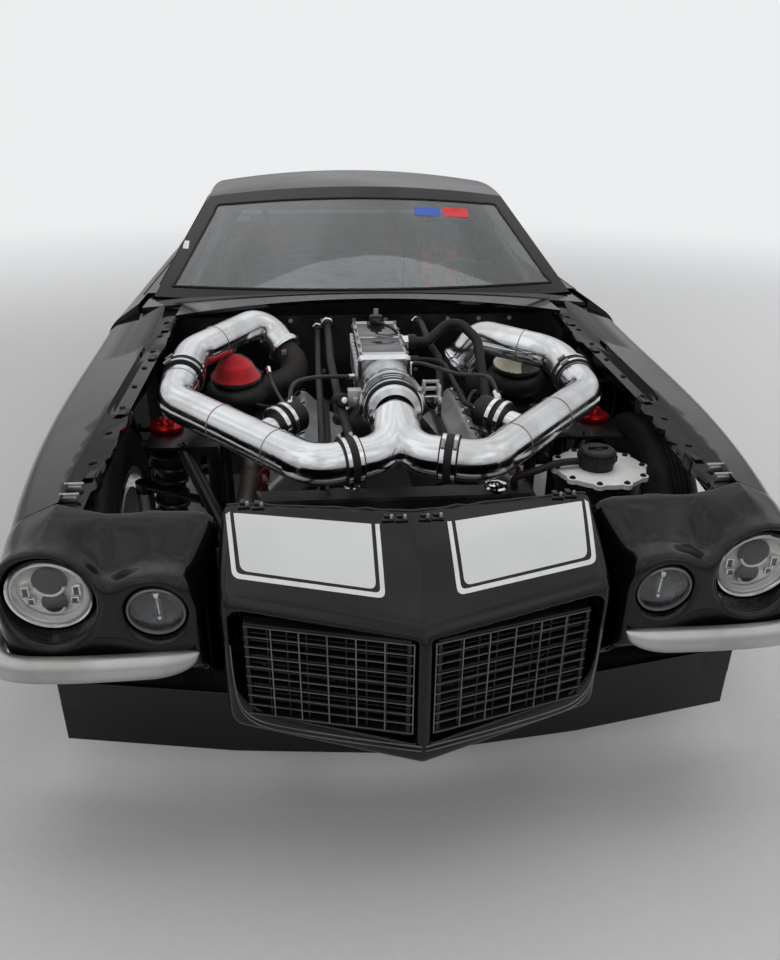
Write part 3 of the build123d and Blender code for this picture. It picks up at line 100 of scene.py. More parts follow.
def heading(line: Sequence[Vector], i: int) -> Vector:
    """Unit direction of a line of points at one of them."""
    return (line[min(i + 1, len(line) - 1)] - line[max(i - 1, 0)]).normalized()


def stand(name: str, data: bpy.types.ID) -> bpy.types.Object:
    """Object of a mesh, camera or lamp, linked to the scene."""
    piece = bpy.data.objects.new(name, data)
    bpy.context.scene.collection.objects.link(piece)
    return piece


def write_mesh(work: bmesh.types.BMesh, mesh: bpy.types.Mesh) -> bpy.types.Mesh:
    """Write a bmesh into a mesh and free it."""
    work.to_mesh(mesh)
    work.free()
    return mesh


def bake(piece: bpy.types.Object) -> None:
    """Apply a piece's modifiers."""
    graph = bpy.context.evaluated_depsgraph_get()
    piece.data = bpy.data.meshes.new_from_object(piece.evaluated_get(graph))
    piece.modifiers.clear()


def shade_smooth(mesh: bpy.types.Mesh, sharp: Optional[float] = None) -> None:
    """Shade every face smooth, apart from edges above an angle in degrees."""
    for polygon in mesh.polygons:
        polygon.use_smooth = True
    if sharp is not None:
        mesh.set_sharp_from_angle(angle=math.radians(sharp))


class Body(Enum):
    """Moving bodies that pieces ride on."""

    CAR = "car"
    DECK_LID = "deck_lid"
    DOOR_LEFT = "door_left"
    DOOR_RIGHT = "door_right"
    STEERING_WHEEL = "steering_wheel"
    WHEEL_FRONT_LEFT = "wheel_front_left"
    WHEEL_FRONT_RIGHT = "wheel_front_right"
    WHEEL_REAR_LEFT = "wheel_rear_left"
    WHEEL_REAR_RIGHT = "wheel_rear_right"


class Graph:
    """A node tree with short ways to add nodes and link them."""

    def __init__(self, tree: bpy.types.NodeTree) -> None:
        """Work on an existing tree."""
        self.tree = tree

    @classmethod
    def group(cls, kind: str, name: str, inputs: Sequence[tuple[str, str, object]],
              outputs: Sequence[tuple[str, str]]) -> "Graph":
        """Start a node group.

        Args:
            kind: Class name of the tree.
            name: Name of the group.
            inputs: Name, socket kind and default of each input, None for no default.
            outputs: Name and socket kind of each output.
        Returns:
            The graph, with the group's inlet and outlet.
        """
        tree = bpy.data.node_groups.new(name, kind)
        for label, socket, value in inputs:
            made = tree.interface.new_socket(label, in_out="INPUT", socket_type=f"NodeSocket{socket}")
            if value is not None:
                made.default_value = value
        for label, socket in outputs:
            tree.interface.new_socket(label, in_out="OUTPUT", socket_type=f"NodeSocket{socket}")
        graph = cls(tree)
        graph.inlet, graph.outlet = graph.add("NodeGroupInput"), graph.add("NodeGroupOutput")
        return graph

    def add(self, kind: str, values: Optional[dict[Socket, object]] = None,
            **settings: object) -> bpy.types.Node:
        """Add a node.

        Args:
            kind: Class name of the node.
            values: Values of its inputs, by socket.
            settings: The node's own settings.
        Returns:
            The node.
        """
        node = self.tree.nodes.new(kind)
        for key, value in settings.items():
            setattr(node, key, value)
        for key, value in (values or {}).items():
            node.inputs[key].default_value = value
        return node

    def link(self, *links: tuple[bpy.types.Node, Socket, bpy.types.Node, Socket]) -> None:
        """Link sockets, each link given as node, output, node and input."""
        for source, out, target, into in links:
            self.tree.links.new(source.outputs[out], target.inputs[into])

    def chain(self, *steps: object) -> None:
        """Link nodes in a row: node, output, input, node, output, input, node and so on."""
        for k in range(0, len(steps) - 1, 3):
            self.link((steps[k], steps[k + 1], steps[k + 3], steps[k + 2]))


class Effects:
    """Shader node groups that several finishes share."""

    def __init__(self) -> None:
        """Build every group once."""
        self.grain = self._grain()
        self.mottle = self._mottle()
        self.brushed = self._brushed()
        self.weave = self._weave()

    @staticmethod
    def _group(name: str, values: dict[str, float], result: str) -> Graph:
        """Shader group with a vector, some values and one result."""
        inputs = [("Vector", "Vector", None)] + [(label, "Float", value) for label, value in values.items()]
        return Graph.group("ShaderNodeTree", name, inputs, [(result, "Float")])

    def _grain(self) -> bpy.types.NodeTree:
        """Fine even grain: one noise, out as a height."""
        g = self._group("fine_grain", {"Scale": 400.0}, "Height")
        noise = g.add("ShaderNodeTexNoise", {"Detail": 2.0})
        g.link((g.inlet, "Vector", noise, "Vector"), (g.inlet, "Scale", noise, "Scale"),
               (noise, "Fac", g.outlet, "Height"))
        return g.tree

    def _mottle(self) -> bpy.types.NodeTree:
        """Broad patches of dust and handling, out as a mask from 0 to 1."""
        g = self._group("dust_patches", {"Scale": 3.0, "Low": 0.42, "High": 0.68}, "Mask")
        noise = g.add("ShaderNodeTexNoise", {"Detail": 6.0})
        spread = g.add("ShaderNodeMapRange", interpolation_type="SMOOTHSTEP")
        g.link((g.inlet, "Vector", noise, "Vector"), (g.inlet, "Scale", noise, "Scale"),
               (noise, "Fac", spread, "Value"), (g.inlet, "Low", spread, "From Min"),
               (g.inlet, "High", spread, "From Max"), (spread, "Result", g.outlet, "Mask"))
        return g.tree

    def _brushed(self) -> bpy.types.NodeTree:
        """Long fine scratches along one axis, out as a height."""
        g = self._group("brushed_streaks", {"Scale": 60.0, "Across": 20.0}, "Height")
        stretch = g.add("ShaderNodeVectorMath", operation="MULTIPLY")
        combine = g.add("ShaderNodeCombineXYZ", {"Y": 1.0})
        noise = g.add("ShaderNodeTexNoise")
        g.link((g.inlet, "Across", combine, "X"), (g.inlet, "Across", combine, "Z"),
               (g.inlet, "Vector", stretch, 0), (combine, "Vector", stretch, 1),
               (stretch, "Vector", noise, "Vector"),
               (g.inlet, "Scale", noise, "Scale"), (noise, "Fac", g.outlet, "Height"))
        return g.tree

    def _weave(self) -> bpy.types.NodeTree:
        """Plain cloth weave of crossing threads, out as a height."""
        g = self._group("cloth_weave", {"Scale": 700.0}, "Height")
        top = None
        for direction in ("X", "Y", "Z"):
            wave = g.add("ShaderNodeTexWave", {"Distortion": 0.6}, bands_direction=direction)
            g.link((g.inlet, "Vector", wave, "Vector"), (g.inlet, "Scale", wave, "Scale"))
            if top:
                higher = g.add("ShaderNodeMath", operation="MAXIMUM")
                g.link((top, 0, higher, 0), (wave, "Fac", higher, 1))
                wave = higher
            top = wave
        g.link((top, "Value", g.outlet, "Height"))
        return g.tree


class Texture(Enum):
    """Surface texture that feeds a finish's bump."""

    GRAIN = "grain"
    BRUSHED = "brushed"
    WEAVE = "weave"


@dataclass(frozen=True)
class Finish:
    """One surface finish: clean and dusty colour, clean and dusty roughness, and texture."""

    name: str
    colour: tuple[float, float, float]
    dusty: Optional[tuple[float, float, float]] = None
    metallic: float = 0.0
    rough: tuple[float, float] = (0.5, 0.6)
    patch: float = 3.0
    dust: tuple[float, float] = (0.42, 0.72)
    texture: Texture = Texture.GRAIN
    scale: float = 500.0
    bump: float = 0.1
    depth: float = 0.001
    coat: float = 0.0
    coat_rough: float = 0.03
    sheen: float = 0.0
    clear: float = 0.0
    gloss: float = 0.5

    def dress(self, effects: Effects) -> bpy.types.Material:
        """Build the material with the shared effects.

        Args:
            effects: The shared shader node groups.
        Returns:
            The finished material.
        """
        material = bpy.data.materials.new(self.name)
        material.use_nodes = True
        g = Graph(material.node_tree)
        shader = g.tree.nodes["Principled BSDF"]
        for socket, value in (("Metallic", self.metallic), ("Coat Weight", self.coat),
                              ("Coat Roughness", self.coat_rough), ("Sheen Weight", self.sheen),
                              ("Transmission Weight", self.clear), ("Specular IOR Level", self.gloss)):
            shader.inputs[socket].default_value = value
        coords = g.add("ShaderNodeTexCoord")
        patches = g.add("ShaderNodeGroup", {"Scale": self.patch, "Low": self.dust[0], "High": self.dust[1]},
                        node_tree=effects.mottle)
        mix = g.add("ShaderNodeMix", {"A": (*self.colour, 1.0), "B": (*(self.dusty or self.colour), 1.0)},
                    data_type="RGBA")
        spread = g.add("ShaderNodeMapRange", {"To Min": self.rough[0], "To Max": self.rough[1]})
        surface = g.add("ShaderNodeGroup", {"Scale": self.scale},
                        node_tree=getattr(effects, self.texture.value))
        bump = g.add("ShaderNodeBump", {"Strength": self.bump, "Distance": self.depth})
        g.chain(coords, "Object", "Vector", patches, "Mask", "Factor", mix, "Result", "Base Color", shader)
        g.chain(patches, "Mask", "Value", spread, "Result", "Roughness", shader)
        g.chain(coords, "Object", "Vector", surface, "Height", "Height", bump, "Normal", "Normal", shader)
        if self.clear > 0:
            light = g.add("ShaderNodeLightPath")
            passed = g.add("ShaderNodeBsdfTransparent", {"Color": (*self.colour, 1.0)})
            blend = g.add("ShaderNodeMixShader")
            g.link((light, "Is Shadow Ray", blend, "Fac"), (shader, "BSDF", blend, 1),
                   (passed, "BSDF", blend, 2), (blend, "Shader", g.tree.nodes["Material Output"], "Surface"))
        return material


FINISHES = (
    Finish("body_paint", (0.0022, 0.0023, 0.0028), (0.005, 0.005, 0.0056), rough=(0.06, 0.13), patch=2.2,
           scale=900, bump=0.02, depth=0.0003, coat=0.3, coat_rough=0.015, gloss=0.24),
    Finish("stripe_paint", (0.68, 0.69, 0.68), (0.64, 0.65, 0.64), rough=(0.3, 0.36), patch=5, scale=1600,
           bump=0.04, depth=0.0004, coat=0.5, coat_rough=0.05),
    Finish("pinstripe", (0.74, 0.75, 0.75), (0.66, 0.66, 0.66), rough=(0.35, 0.6), patch=20, scale=1200,
           bump=0.04),
    Finish("satin_silver", (0.56, 0.56, 0.55), (0.44, 0.43, 0.41), metallic=0.85, rough=(0.34, 0.46),
           patch=6, scale=700, bump=0.08, depth=0.0005),
    Finish("chrome", (0.86, 0.87, 0.88), (0.7, 0.71, 0.72), metallic=1.0, rough=(0.06, 0.16), patch=14,
           scale=500, bump=0.02, depth=0.0003),
    Finish("polished_aluminium", (0.83, 0.84, 0.85), (0.68, 0.68, 0.67), metallic=1.0, rough=(0.11, 0.24),
           patch=11, texture=Texture.BRUSHED, scale=45, bump=0.06, depth=0.0005),
    Finish("cast_aluminium", (0.55, 0.56, 0.56), (0.36, 0.35, 0.33), metallic=0.9, rough=(0.42, 0.6),
           patch=8, scale=420, bump=0.35, depth=0.0009),
    Finish("bare_steel", (0.42, 0.42, 0.43), (0.24, 0.21, 0.18), metallic=0.9, rough=(0.38, 0.6), patch=12,
           scale=300, bump=0.2, depth=0.0006),
    Finish("header_steel", (0.09, 0.085, 0.08), (0.13, 0.1, 0.075), metallic=0.7, rough=(0.45, 0.7),
           patch=14, scale=350, bump=0.4, depth=0.0008),
    Finish("cast_iron", (0.022, 0.022, 0.023), (0.045, 0.041, 0.037), metallic=0.5, rough=(0.5, 0.75),
           patch=10, scale=380, bump=0.5, depth=0.001),
    Finish("mirror_silver", (0.82, 0.81, 0.75), (0.7, 0.69, 0.62), metallic=0.45, rough=(0.2, 0.32),
           patch=30, texture=Texture.WEAVE, scale=150, bump=0.3, depth=0.0008),
    Finish("smoked_silver", (0.07, 0.073, 0.08), (0.045, 0.047, 0.05), metallic=0.8, rough=(0.25, 0.4),
           patch=20, texture=Texture.WEAVE, scale=330, bump=0.3, depth=0.0006),
    Finish("dark_wire", (0.2, 0.205, 0.21), (0.13, 0.13, 0.13), metallic=0.8, rough=(0.4, 0.5), patch=12,
           scale=800, bump=0.1),
    Finish("suede", (0.012, 0.012, 0.013), (0.024, 0.024, 0.025), rough=(0.92, 0.97), patch=40, scale=1500,
           bump=0.5, depth=0.0005, sheen=0.5),
    Finish("dial_face", (0.01, 0.01, 0.011), (0.014, 0.014, 0.015), rough=(0.5, 0.6), patch=30, scale=1200,
           bump=0.1),
    Finish("chassis_paint", (0.006, 0.006, 0.0065), (0.02, 0.019, 0.017), rough=(0.3, 0.5), patch=5,
           scale=600, bump=0.1, depth=0.0006, coat=0.2, coat_rough=0.12, gloss=0.25),
    Finish("black_plastic", (0.008, 0.008, 0.009), (0.018, 0.0175, 0.017), rough=(0.42, 0.58), patch=7,
           scale=1100, bump=0.3, depth=0.0005, gloss=0.35),
    Finish("hose_rubber", (0.008, 0.008, 0.0085), (0.018, 0.0175, 0.017), rough=(0.5, 0.66), gloss=0.35,
           patch=16, texture=Texture.WEAVE, scale=520, bump=0.35, depth=0.0005),
    Finish("tyre_rubber", (0.013, 0.013, 0.013), (0.05, 0.047, 0.043), rough=(0.62, 0.85), patch=7,
           scale=260, bump=0.35, depth=0.0009),
    Finish("fabric_red", (0.62, 0.012, 0.02), (0.5, 0.01, 0.016), rough=(0.8, 0.9), patch=18,
           texture=Texture.WEAVE, scale=620, bump=0.5, depth=0.0006, sheen=0.3),
    Finish("fabric_cream", (0.66, 0.62, 0.5), (0.55, 0.5, 0.38), rough=(0.82, 0.9), patch=18,
           texture=Texture.WEAVE, scale=620, bump=0.5, depth=0.0006, sheen=0.3),
    Finish("fabric_grey", (0.05, 0.052, 0.056), (0.08, 0.08, 0.08), rough=(0.82, 0.9), patch=18,
           texture=Texture.WEAVE, scale=620, bump=0.5, depth=0.0006, sheen=0.3),
    Finish("fabric_black", (0.014, 0.014, 0.015), (0.03, 0.03, 0.03), rough=(0.85, 0.92), patch=14,
           texture=Texture.WEAVE, scale=560, bump=0.5, depth=0.0007, sheen=0.25),
    Finish("white_enamel", (0.74, 0.74, 0.72), (0.6, 0.59, 0.56), rough=(0.3, 0.42), patch=12, scale=700,
           bump=0.05, coat=0.4),
    Finish("red_anodised", (0.55, 0.01, 0.012), (0.4, 0.008, 0.01), metallic=0.8, rough=(0.25, 0.6),
           patch=15, scale=600, bump=0.05),
    Finish("blue_film", (0.02, 0.09, 0.42), (0.02, 0.08, 0.36), rough=(0.35, 0.6), patch=20, scale=800,
           bump=0.03),
    Finish("red_film", (0.62, 0.02, 0.025), (0.55, 0.02, 0.02), rough=(0.35, 0.6), patch=20, scale=800,
           bump=0.03),
    Finish("lamp_red", (0.28, 0.004, 0.006), (0.2, 0.003, 0.004), rough=(0.08, 0.2), patch=9,
           texture=Texture.WEAVE, scale=120, bump=0.3, depth=0.0008, coat=1.0),
    Finish("radiator_core", (0.03, 0.03, 0.032), (0.07, 0.066, 0.06), metallic=0.4, rough=(0.5, 0.7),
           patch=12, scale=500, bump=0.3),
    Finish("gloss_insert", (0.03, 0.031, 0.034), (0.05, 0.05, 0.052), metallic=0.2, rough=(0.12, 0.22),
           patch=8, scale=600, bump=0.03, coat=0.6),
    Finish("lead_red", (0.16, 0.006, 0.008), (0.1, 0.005, 0.006), rough=(0.42, 0.6), patch=20, scale=900,
           bump=0.1),
    Finish("braid", (0.05, 0.05, 0.052), (0.1, 0.1, 0.1), metallic=0.5, rough=(0.42, 0.5), patch=20,
           texture=Texture.WEAVE, scale=900, bump=0.6, depth=0.0006),
    Finish("spring_paint", (0.02, 0.02, 0.021), (0.05, 0.045, 0.04), rough=(0.35, 0.5), patch=10, scale=500,
           bump=0.1, coat=0.4),
    Finish("fin_metal", (0.1, 0.1, 0.105), (0.06, 0.058, 0.055), metallic=0.8, rough=(0.45, 0.6), patch=9,
           scale=700, bump=0.1),
    Finish("lens_glass", (0.96, 0.97, 0.97), rough=(0.02, 0.06), patch=10, scale=60, bump=0.02, depth=0.0003,
           clear=1.0),
    Finish("window_glass", (0.62, 0.66, 0.66), (0.5, 0.54, 0.54), rough=(0.0, 0.0), patch=2, scale=8,
           bump=0.0, depth=0.0001, clear=1.0, coat=1.0, coat_rough=0.0, gloss=1.0),
)


class Wardrobe:
    """All materials, by finish name."""

    def __init__(self) -> None:
        """Build each finish once."""
        effects = Effects()
        self.made = {finish.name: finish.dress(effects) for finish in FINISHES}

    def __getitem__(self, name: str) -> bpy.types.Material:
        """Material of a finish."""
        return self.made[name]


# Mesh drafting


def frame_of(axis: Point) -> tuple[Vector, Vector, Vector]:
    """Two crosswise unit vectors and the unit axis itself."""
    w = Vector(axis).normalized()
    u = w.orthogonal().normalized()
    return u, w.cross(u), w


class Draft:
    """Collects closed forms in metres, then makes one mesh object of them."""

    def __init__(self, name: str, wardrobe: Wardrobe) -> None:
        """Start an empty draft."""
        self.name = name
        self.wardrobe = wardrobe
        self.verts: list[Vector] = []
        self.faces: list[tuple[tuple[int, ...], str, bool]] = []

    def add(self, verts: Iterable[Vector], faces: Iterable[Sequence[int]], finish: str,
            smooth: bool = True) -> None:
        """Add loose vertices and faces in one finish."""
        start = len(self.verts)
        self.verts.extend(Vector(v) for v in verts)
        for f in faces:
            self.faces.append((tuple(start + i for i in f), finish, smooth))

    def lathe(self, profile: Sequence[tuple[float, float]], origin: Point, axis: Point, finish: str,
              steps: int = 48, ring: bool = False, unit: float = MM) -> None:
        """Turn a profile of (radius, distance along the axis) round an axis.

        Args:
            profile: Points of the outline; an open one starts and ends on the axis, a ring closes on itself.
            origin: Where distance 0 lies.
            axis: Direction of the axis.
            finish: Name of the finish.
            steps: Faces round the axis.
            ring: True for an outline that closes on itself off the axis.
            unit: Metres in the profile's unit.
        """
        u, v, w = frame_of(axis)
        base = Vector(origin)
        verts: list[Vector] = []
        rows: list[list[int]] = []
        turns = around(steps)
        for r, d in profile:
            middle = base + w * (d * unit)
            start = len(verts)
            if r * unit < 1e-6:
                verts.append(middle)
                rows.append([start] * steps)
            else:
                verts += [middle + (u * c + v * s) * (r * unit) for c, s in turns]
                rows.append(list(range(start, start + steps)))
        if ring:
            rows.append(rows[0])
        faces = []
        for a, b in zip(rows, rows[1:]):
            for k in range(steps):
                n = (k + 1) % steps
                quad = [a[k], a[n], b[n], b[k]]
                kept = [i for j, i in enumerate(quad) if i != quad[j - 1]]
                if len(kept) > 2:
                    faces.append(kept)
        self.add(verts, faces, finish)

    def block(self, low: Point, high: Point, finish: str, edge: float = 0.0015,
              turn: Optional[Matrix] = None) -> None:
        """Box with bevelled edges between two corners, optionally turned about its middle."""
        low, high = Vector(low), Vector(high)
        half = Vector([abs(c) for c in (high - low) / 2])
        mesh = bmesh.new()
        bmesh.ops.create_cube(mesh, size=2.0, matrix=Matrix.Diagonal((*half, 1.0)))
        bmesh.ops.bevel(mesh, geom=mesh.edges[:], offset=min(edge, min(half) * 0.45),
                        segments=2, affect="EDGES", profile=0.5)
        where = Matrix.Translation((low + high) / 2) @ (turn or Matrix.Identity(4))
        mesh.verts.index_update()
        self.add([where @ v.co for v in mesh.verts], [[v.index for v in f.verts] for f in mesh.faces],
                 finish, False)
        mesh.free()

    def box(self, x: Point, s: Point, z: Point, finish: str, edge: float = 0.0015) -> None:
        """Box between two widths, two stations and two heights in millimetres."""
        self.block(place(x[0], s[0], z[0]), place(x[1], s[1], z[1]), finish, edge)

    def chip(self, spot: Vector, low: Point, high: Point, finish: str, edge: float = 0.0015) -> None:
        """Small box beside a spot, its corners given in millimetres from there."""
        self.block(spot + Vector(low) * MM, spot + Vector(high) * MM, finish, edge)

    def tube(self, points: Sequence[Vector], radius: float, finish: str,
             sides: int = 14, fine: int = 6) -> None:
        """Round tube with closed ends along a smooth line through the points; radius in millimetres."""
        line = smooth_line(points, fine)
        verts: list[Vector] = []
        u = frame_of(line[1] - line[0])[0]
        for i, p in enumerate(line):
            ahead = heading(line, i)
            u = (u - ahead * u.dot(ahead)).normalized()
            v = ahead.cross(u)
            verts += [p + (u * c + v * s) * (radius * MM) for c, s in around(sides)]
        self.add(verts, hoops(len(line), sides), finish)

    def slab(self, outline: Sequence[Vector], thick: Vector, finish: str) -> None:
        """Flat outline given a thickness along a vector."""
        self.add([*outline, *(p + thick for p in outline)], hoops(2, len(outline)), finish, False)

    def done(self, slot: str, body: Body = Body.CAR, replaces: Sequence[str] = (), fix: bool = True,
             sharp: float = 35.0) -> None:
        """Make the object, at the origin, and settle it.

        Args:
            slot: Not used.
            body: Body that it rides on.
            replaces: Nodes of the frame that it stands for.
            fix: Turn every closed shell's faces outwards.
            sharp: Angle in degrees above which an edge shades hard.
        """
        mesh = bpy.data.meshes.new(self.name)
        mesh.from_pydata([tuple(v) for v in self.verts], [], [f for f, _, _ in self.faces])
        names = list(dict.fromkeys(finish for _, finish, _ in self.faces))
        for name in names:
            mesh.materials.append(self.wardrobe[name])
        for polygon, (_, finish, smooth) in zip(mesh.polygons, self.faces):
            polygon.material_index = names.index(finish)
            polygon.use_smooth = smooth
        if fix:
            work = bmesh.new()
            work.from_mesh(mesh)
            bmesh.ops.recalc_face_normals(work, faces=work.faces)
            write_mesh(work, mesh)
        mesh.validate()
        mesh.set_sharp_from_angle(angle=math.radians(sharp))
        settle(stand(self.name, mesh), body, replaces)


def smooth_line(points: Sequence[Vector], fine: int) -> list[Vector]:
    """Points of a smooth curve through the given ones, with fine steps between each two."""
    if len(points) < 3 or fine < 2:
        return [Vector(p) for p in points]
    line = []
    last = len(points) - 1
    for i in range(last):
        a, b, c, d = (Vector(points[max(0, min(last, i + k))]) for k in (-1, 0, 1, 2))
        for k in range(fine):
            t = k / fine
            line.append(0.5 * ((2 * b) + (c - a) * t + (2 * a - 5 * b + 4 * c - d) * t * t
                               + (3 * b - a - 3 * c + d) * t ** 3))
    line.append(Vector(points[-1]))
    return line


def settle(piece: bpy.types.Object, body: Body, replaces: Sequence[str] = ()) -> bpy.types.Object:
    """Let a finished piece ride on its body and what it stands for, and log it."""
    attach(piece, body.value)
    if replaces:
        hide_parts(*replaces)
    log.info("%s: %d faces on %s", piece.name, len(piece.data.polygons), body.value)
    return piece


class Surface:
    """Finds where rays meet the panels of the frame."""

    def __init__(self, *nodes: str) -> None:
        """Read the meshes of the named nodes."""
        verts: list[Vector] = []
        faces: list[list[int]] = []
        for name in nodes:
            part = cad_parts.get(name) or bpy.data.objects[name]
            start = len(verts)
            verts += [part.matrix_world @ v.co for v in part.data.vertices]
            faces += [[start + i for i in f.vertices] for f in part.data.polygons]
        self.tree = BVHTree.FromPolygons(verts, faces)

    def hit(self, start: Vector, way: Vector) -> tuple[Vector, Vector]:
        """First point met from start along way, and the normal that faces back."""
        point, normal, _, _ = self.tree.ray_cast(start, way)
        if point is None:
            point, normal, _, _ = self.tree.find_nearest(start)
        if normal.dot(way) > 0:
            normal = -normal
        return point, normal


def drape(draft: Draft, surface: Surface, corners: Sequence[Vector], way: Vector, finish: str,
          count: tuple[int, int], lift: float = 0.0006) -> None:
    """Lay a thin film over a surface inside four corners.

    Args:
        draft: Draft that takes the film.
        surface: Panels that it lies on.
        corners: Four corners in order, off the surface.
        way: Direction in which the corners are dropped.
        finish: Finish of the film.
        count: Faces along and across.
        lift: Distance of the film's outer face above the surface.
    """
    a, b, c, d = corners
    verts: list[Vector] = []
    for j in range(count[1] + 1):
        for i in range(count[0] + 1):
            u, v = i / count[0], j / count[1]
            point, normal = surface.hit((a * (1 - u) + b * u) * (1 - v) + (d * (1 - u) + c * u) * v, way)
            verts.append(point + normal * lift)
    faces = quilt(*count)
    first = faces[0]
    normal = (verts[first[1]] - verts[first[0]]).cross(verts[first[3]] - verts[first[0]])
    if normal.dot(way) > 0:
        faces = [f[::-1] for f in faces]
    draft.add(verts, faces, finish)


# Repeats made with geometry nodes


class NodeKit:
    """Geometry node trees for fasteners, bands, coils and rows of bars."""

    def __init__(self) -> None:
        """Build each tree once."""
        self.fasteners = self._fasteners()
        self.bands = self._bands()
        self.coil = self._coil()
        self.bars = self._bars()

    @staticmethod
    def _group(name: str, **values: object) -> Graph:
        """Tree with a geometry in and out, an input for each value and one for the finish."""
        kinds = {float: "Float", int: "Int", tuple: "Vector"}
        inputs = [("Geometry", "Geometry", None)]
        inputs += [(label, kinds[type(value)], value) for label, value in values.items()]
        inputs.append(("Finish", "Material", None))
        return Graph.group("GeometryNodeTree", name, inputs, [("Geometry", "Geometry")])

    @staticmethod
    def _finish(g: Graph, source: bpy.types.Node, socket: str) -> bpy.types.NodeTree:
        """End a tree: realize instances, set the material, out."""
        real, paint = g.add("GeometryNodeRealizeInstances"), g.add("GeometryNodeSetMaterial")
        g.chain(source, socket, "Geometry", real, "Geometry", "Geometry", paint,
                "Geometry", "Geometry", g.outlet)
        g.link((g.inlet, "Finish", paint, "Material"))
        return g.tree

    def _at_points(self, g: Graph, shape: bpy.types.Node, socket: str) -> bpy.types.NodeTree:
        """End a tree with its shape on the base mesh's points, its Z along the facing attribute."""
        facing = g.add("GeometryNodeInputNamedAttribute", data_type="FLOAT_VECTOR")
        facing.inputs["Name"].default_value = "facing"
        align = g.add("FunctionNodeAlignRotationToVector", axis="Z")
        spread = g.add("GeometryNodeInstanceOnPoints")
        g.chain(facing, "Attribute", "Vector", align, "Rotation", "Rotation", spread)
        g.link((g.inlet, "Geometry", spread, "Points"), (shape, socket, spread, "Instance"))
        return self._finish(g, spread, "Instances")

    def _fasteners(self) -> bpy.types.NodeTree:
        """Hexagon or round heads on washers."""
        g = self._group("fasteners", Radius=0.005, Height=0.004, Sides=6)
        head = g.add("GeometryNodeMeshCylinder")
        washer = g.add("GeometryNodeMeshCylinder", {"Vertices": 16})
        wide = g.add("ShaderNodeMath", {1: 1.45}, operation="MULTIPLY")
        low = g.add("ShaderNodeMath", {1: 0.5}, operation="MULTIPLY")
        lift, up = g.add("GeometryNodeTransform"), g.add("ShaderNodeCombineXYZ")
        join = g.add("GeometryNodeJoinGeometry")
        g.link((g.inlet, "Sides", head, "Vertices"), (g.inlet, "Radius", head, "Radius"),
               (g.inlet, "Height", head, "Depth"))
        g.chain(g.inlet, "Radius", 0, wide, "Value", "Radius", washer)
        g.chain(g.inlet, "Height", 0, low, "Value", "Depth", washer)
        g.chain(low, "Value", "Z", up, "Vector", "Translation", lift)
        g.chain(head, "Mesh", "Geometry", lift, "Geometry", "Geometry", join)
        g.link((washer, "Mesh", join, "Geometry"))
        return self._at_points(g, join, "Geometry")

    def _bands(self) -> bpy.types.NodeTree:
        """Clamp bands round the facing axis."""
        g = self._group("bands", Radius=0.05, Width=0.01, Thick=0.0016)
        circle = g.add("GeometryNodeCurvePrimitiveCircle", {"Resolution": 56})
        strip, sweep = g.add("GeometryNodeCurvePrimitiveQuadrilateral"), g.add("GeometryNodeCurveToMesh")
        g.link((g.inlet, "Radius", circle, "Radius"), (g.inlet, "Thick", strip, "Width"),
               (g.inlet, "Width", strip, "Height"), (circle, "Curve", sweep, "Curve"),
               (strip, "Curve", sweep, "Profile Curve"))
        return self._at_points(g, sweep, "Mesh")

    def _coil(self) -> bpy.types.NodeTree:
        """Coil springs along the facing axis."""
        g = self._group("coil", Radius=0.04, Wire=0.006, Height=0.3, Turns=8.0)
        spiral = g.add("GeometryNodeCurveSpiral", {"Resolution": 30})
        wire = g.add("GeometryNodeCurvePrimitiveCircle", {"Resolution": 10})
        sweep = g.add("GeometryNodeCurveToMesh", {"Fill Caps": True})
        g.link((g.inlet, "Radius", spiral, "Start Radius"), (g.inlet, "Radius", spiral, "End Radius"),
               (g.inlet, "Height", spiral, "Height"), (g.inlet, "Turns", spiral, "Rotations"),
               (g.inlet, "Wire", wire, "Radius"), (spiral, "Curve", sweep, "Curve"),
               (wire, "Curve", sweep, "Profile Curve"))
        return self._at_points(g, sweep, "Mesh")

    def _bars(self) -> bpy.types.NodeTree:
        """A row of equal bars, each step away from the last."""
        g = self._group("bars", Size=(0.01, 0.01, 0.01), Count=10,
                        Step=(0.0, 0.0, 0.01), Turn=(0.0, 0.0, 0.0))
        cube, turned = g.add("GeometryNodeMeshCube"), g.add("GeometryNodeTransform")
        line = g.add("GeometryNodeMeshLine")
        inner, outer = g.add("GeometryNodeInstanceOnPoints"), g.add("GeometryNodeInstanceOnPoints")
        g.chain(g.inlet, "Size", "Size", cube, "Mesh", "Geometry", turned, "Geometry", "Instance", inner,
                "Instances", "Instance", outer)
        g.link((g.inlet, "Turn", turned, "Rotation"), (g.inlet, "Count", line, "Count"),
               (g.inlet, "Step", line, "Offset"), (line, "Mesh", inner, "Points"),
               (g.inlet, "Geometry", outer, "Points"))
        return self._finish(g, outer, "Instances")

    @staticmethod
    def make(tree: bpy.types.NodeTree, name: str, spots: Spots, values: dict[str, object],
             material: bpy.types.Material) -> bpy.types.Object:
        """Run a tree on points and keep its result as a plain mesh.

        Args:
            name: Name of the piece.
            spots: Place and facing of each point.
            values: Values of the tree's named inputs.
            material: Finish of the result.
        Returns:
            The piece, with no modifier left on it.
        """
        base = bpy.data.meshes.new(name)
        base.from_pydata([tuple(p) for p, _ in spots], [], [])
        facing = base.attributes.new("facing", "FLOAT_VECTOR", "POINT")
        for item, (_, way) in zip(facing.data, spots):
            item.vector = way
        piece = stand(name, base)
        modifier = piece.modifiers.new("repeat", "NODES")
        modifier.node_group = tree
        sockets = {item.name: item.identifier for item in tree.interface.items_tree
                   if item.in_out == "INPUT"}
        for label, value in {**values, "Finish": material}.items():
            modifier[sockets[label]] = value
        bake(piece)
        piece.data.name = name
        shade_smooth(piece.data, 35)
        return piece


# Sub-assemblies


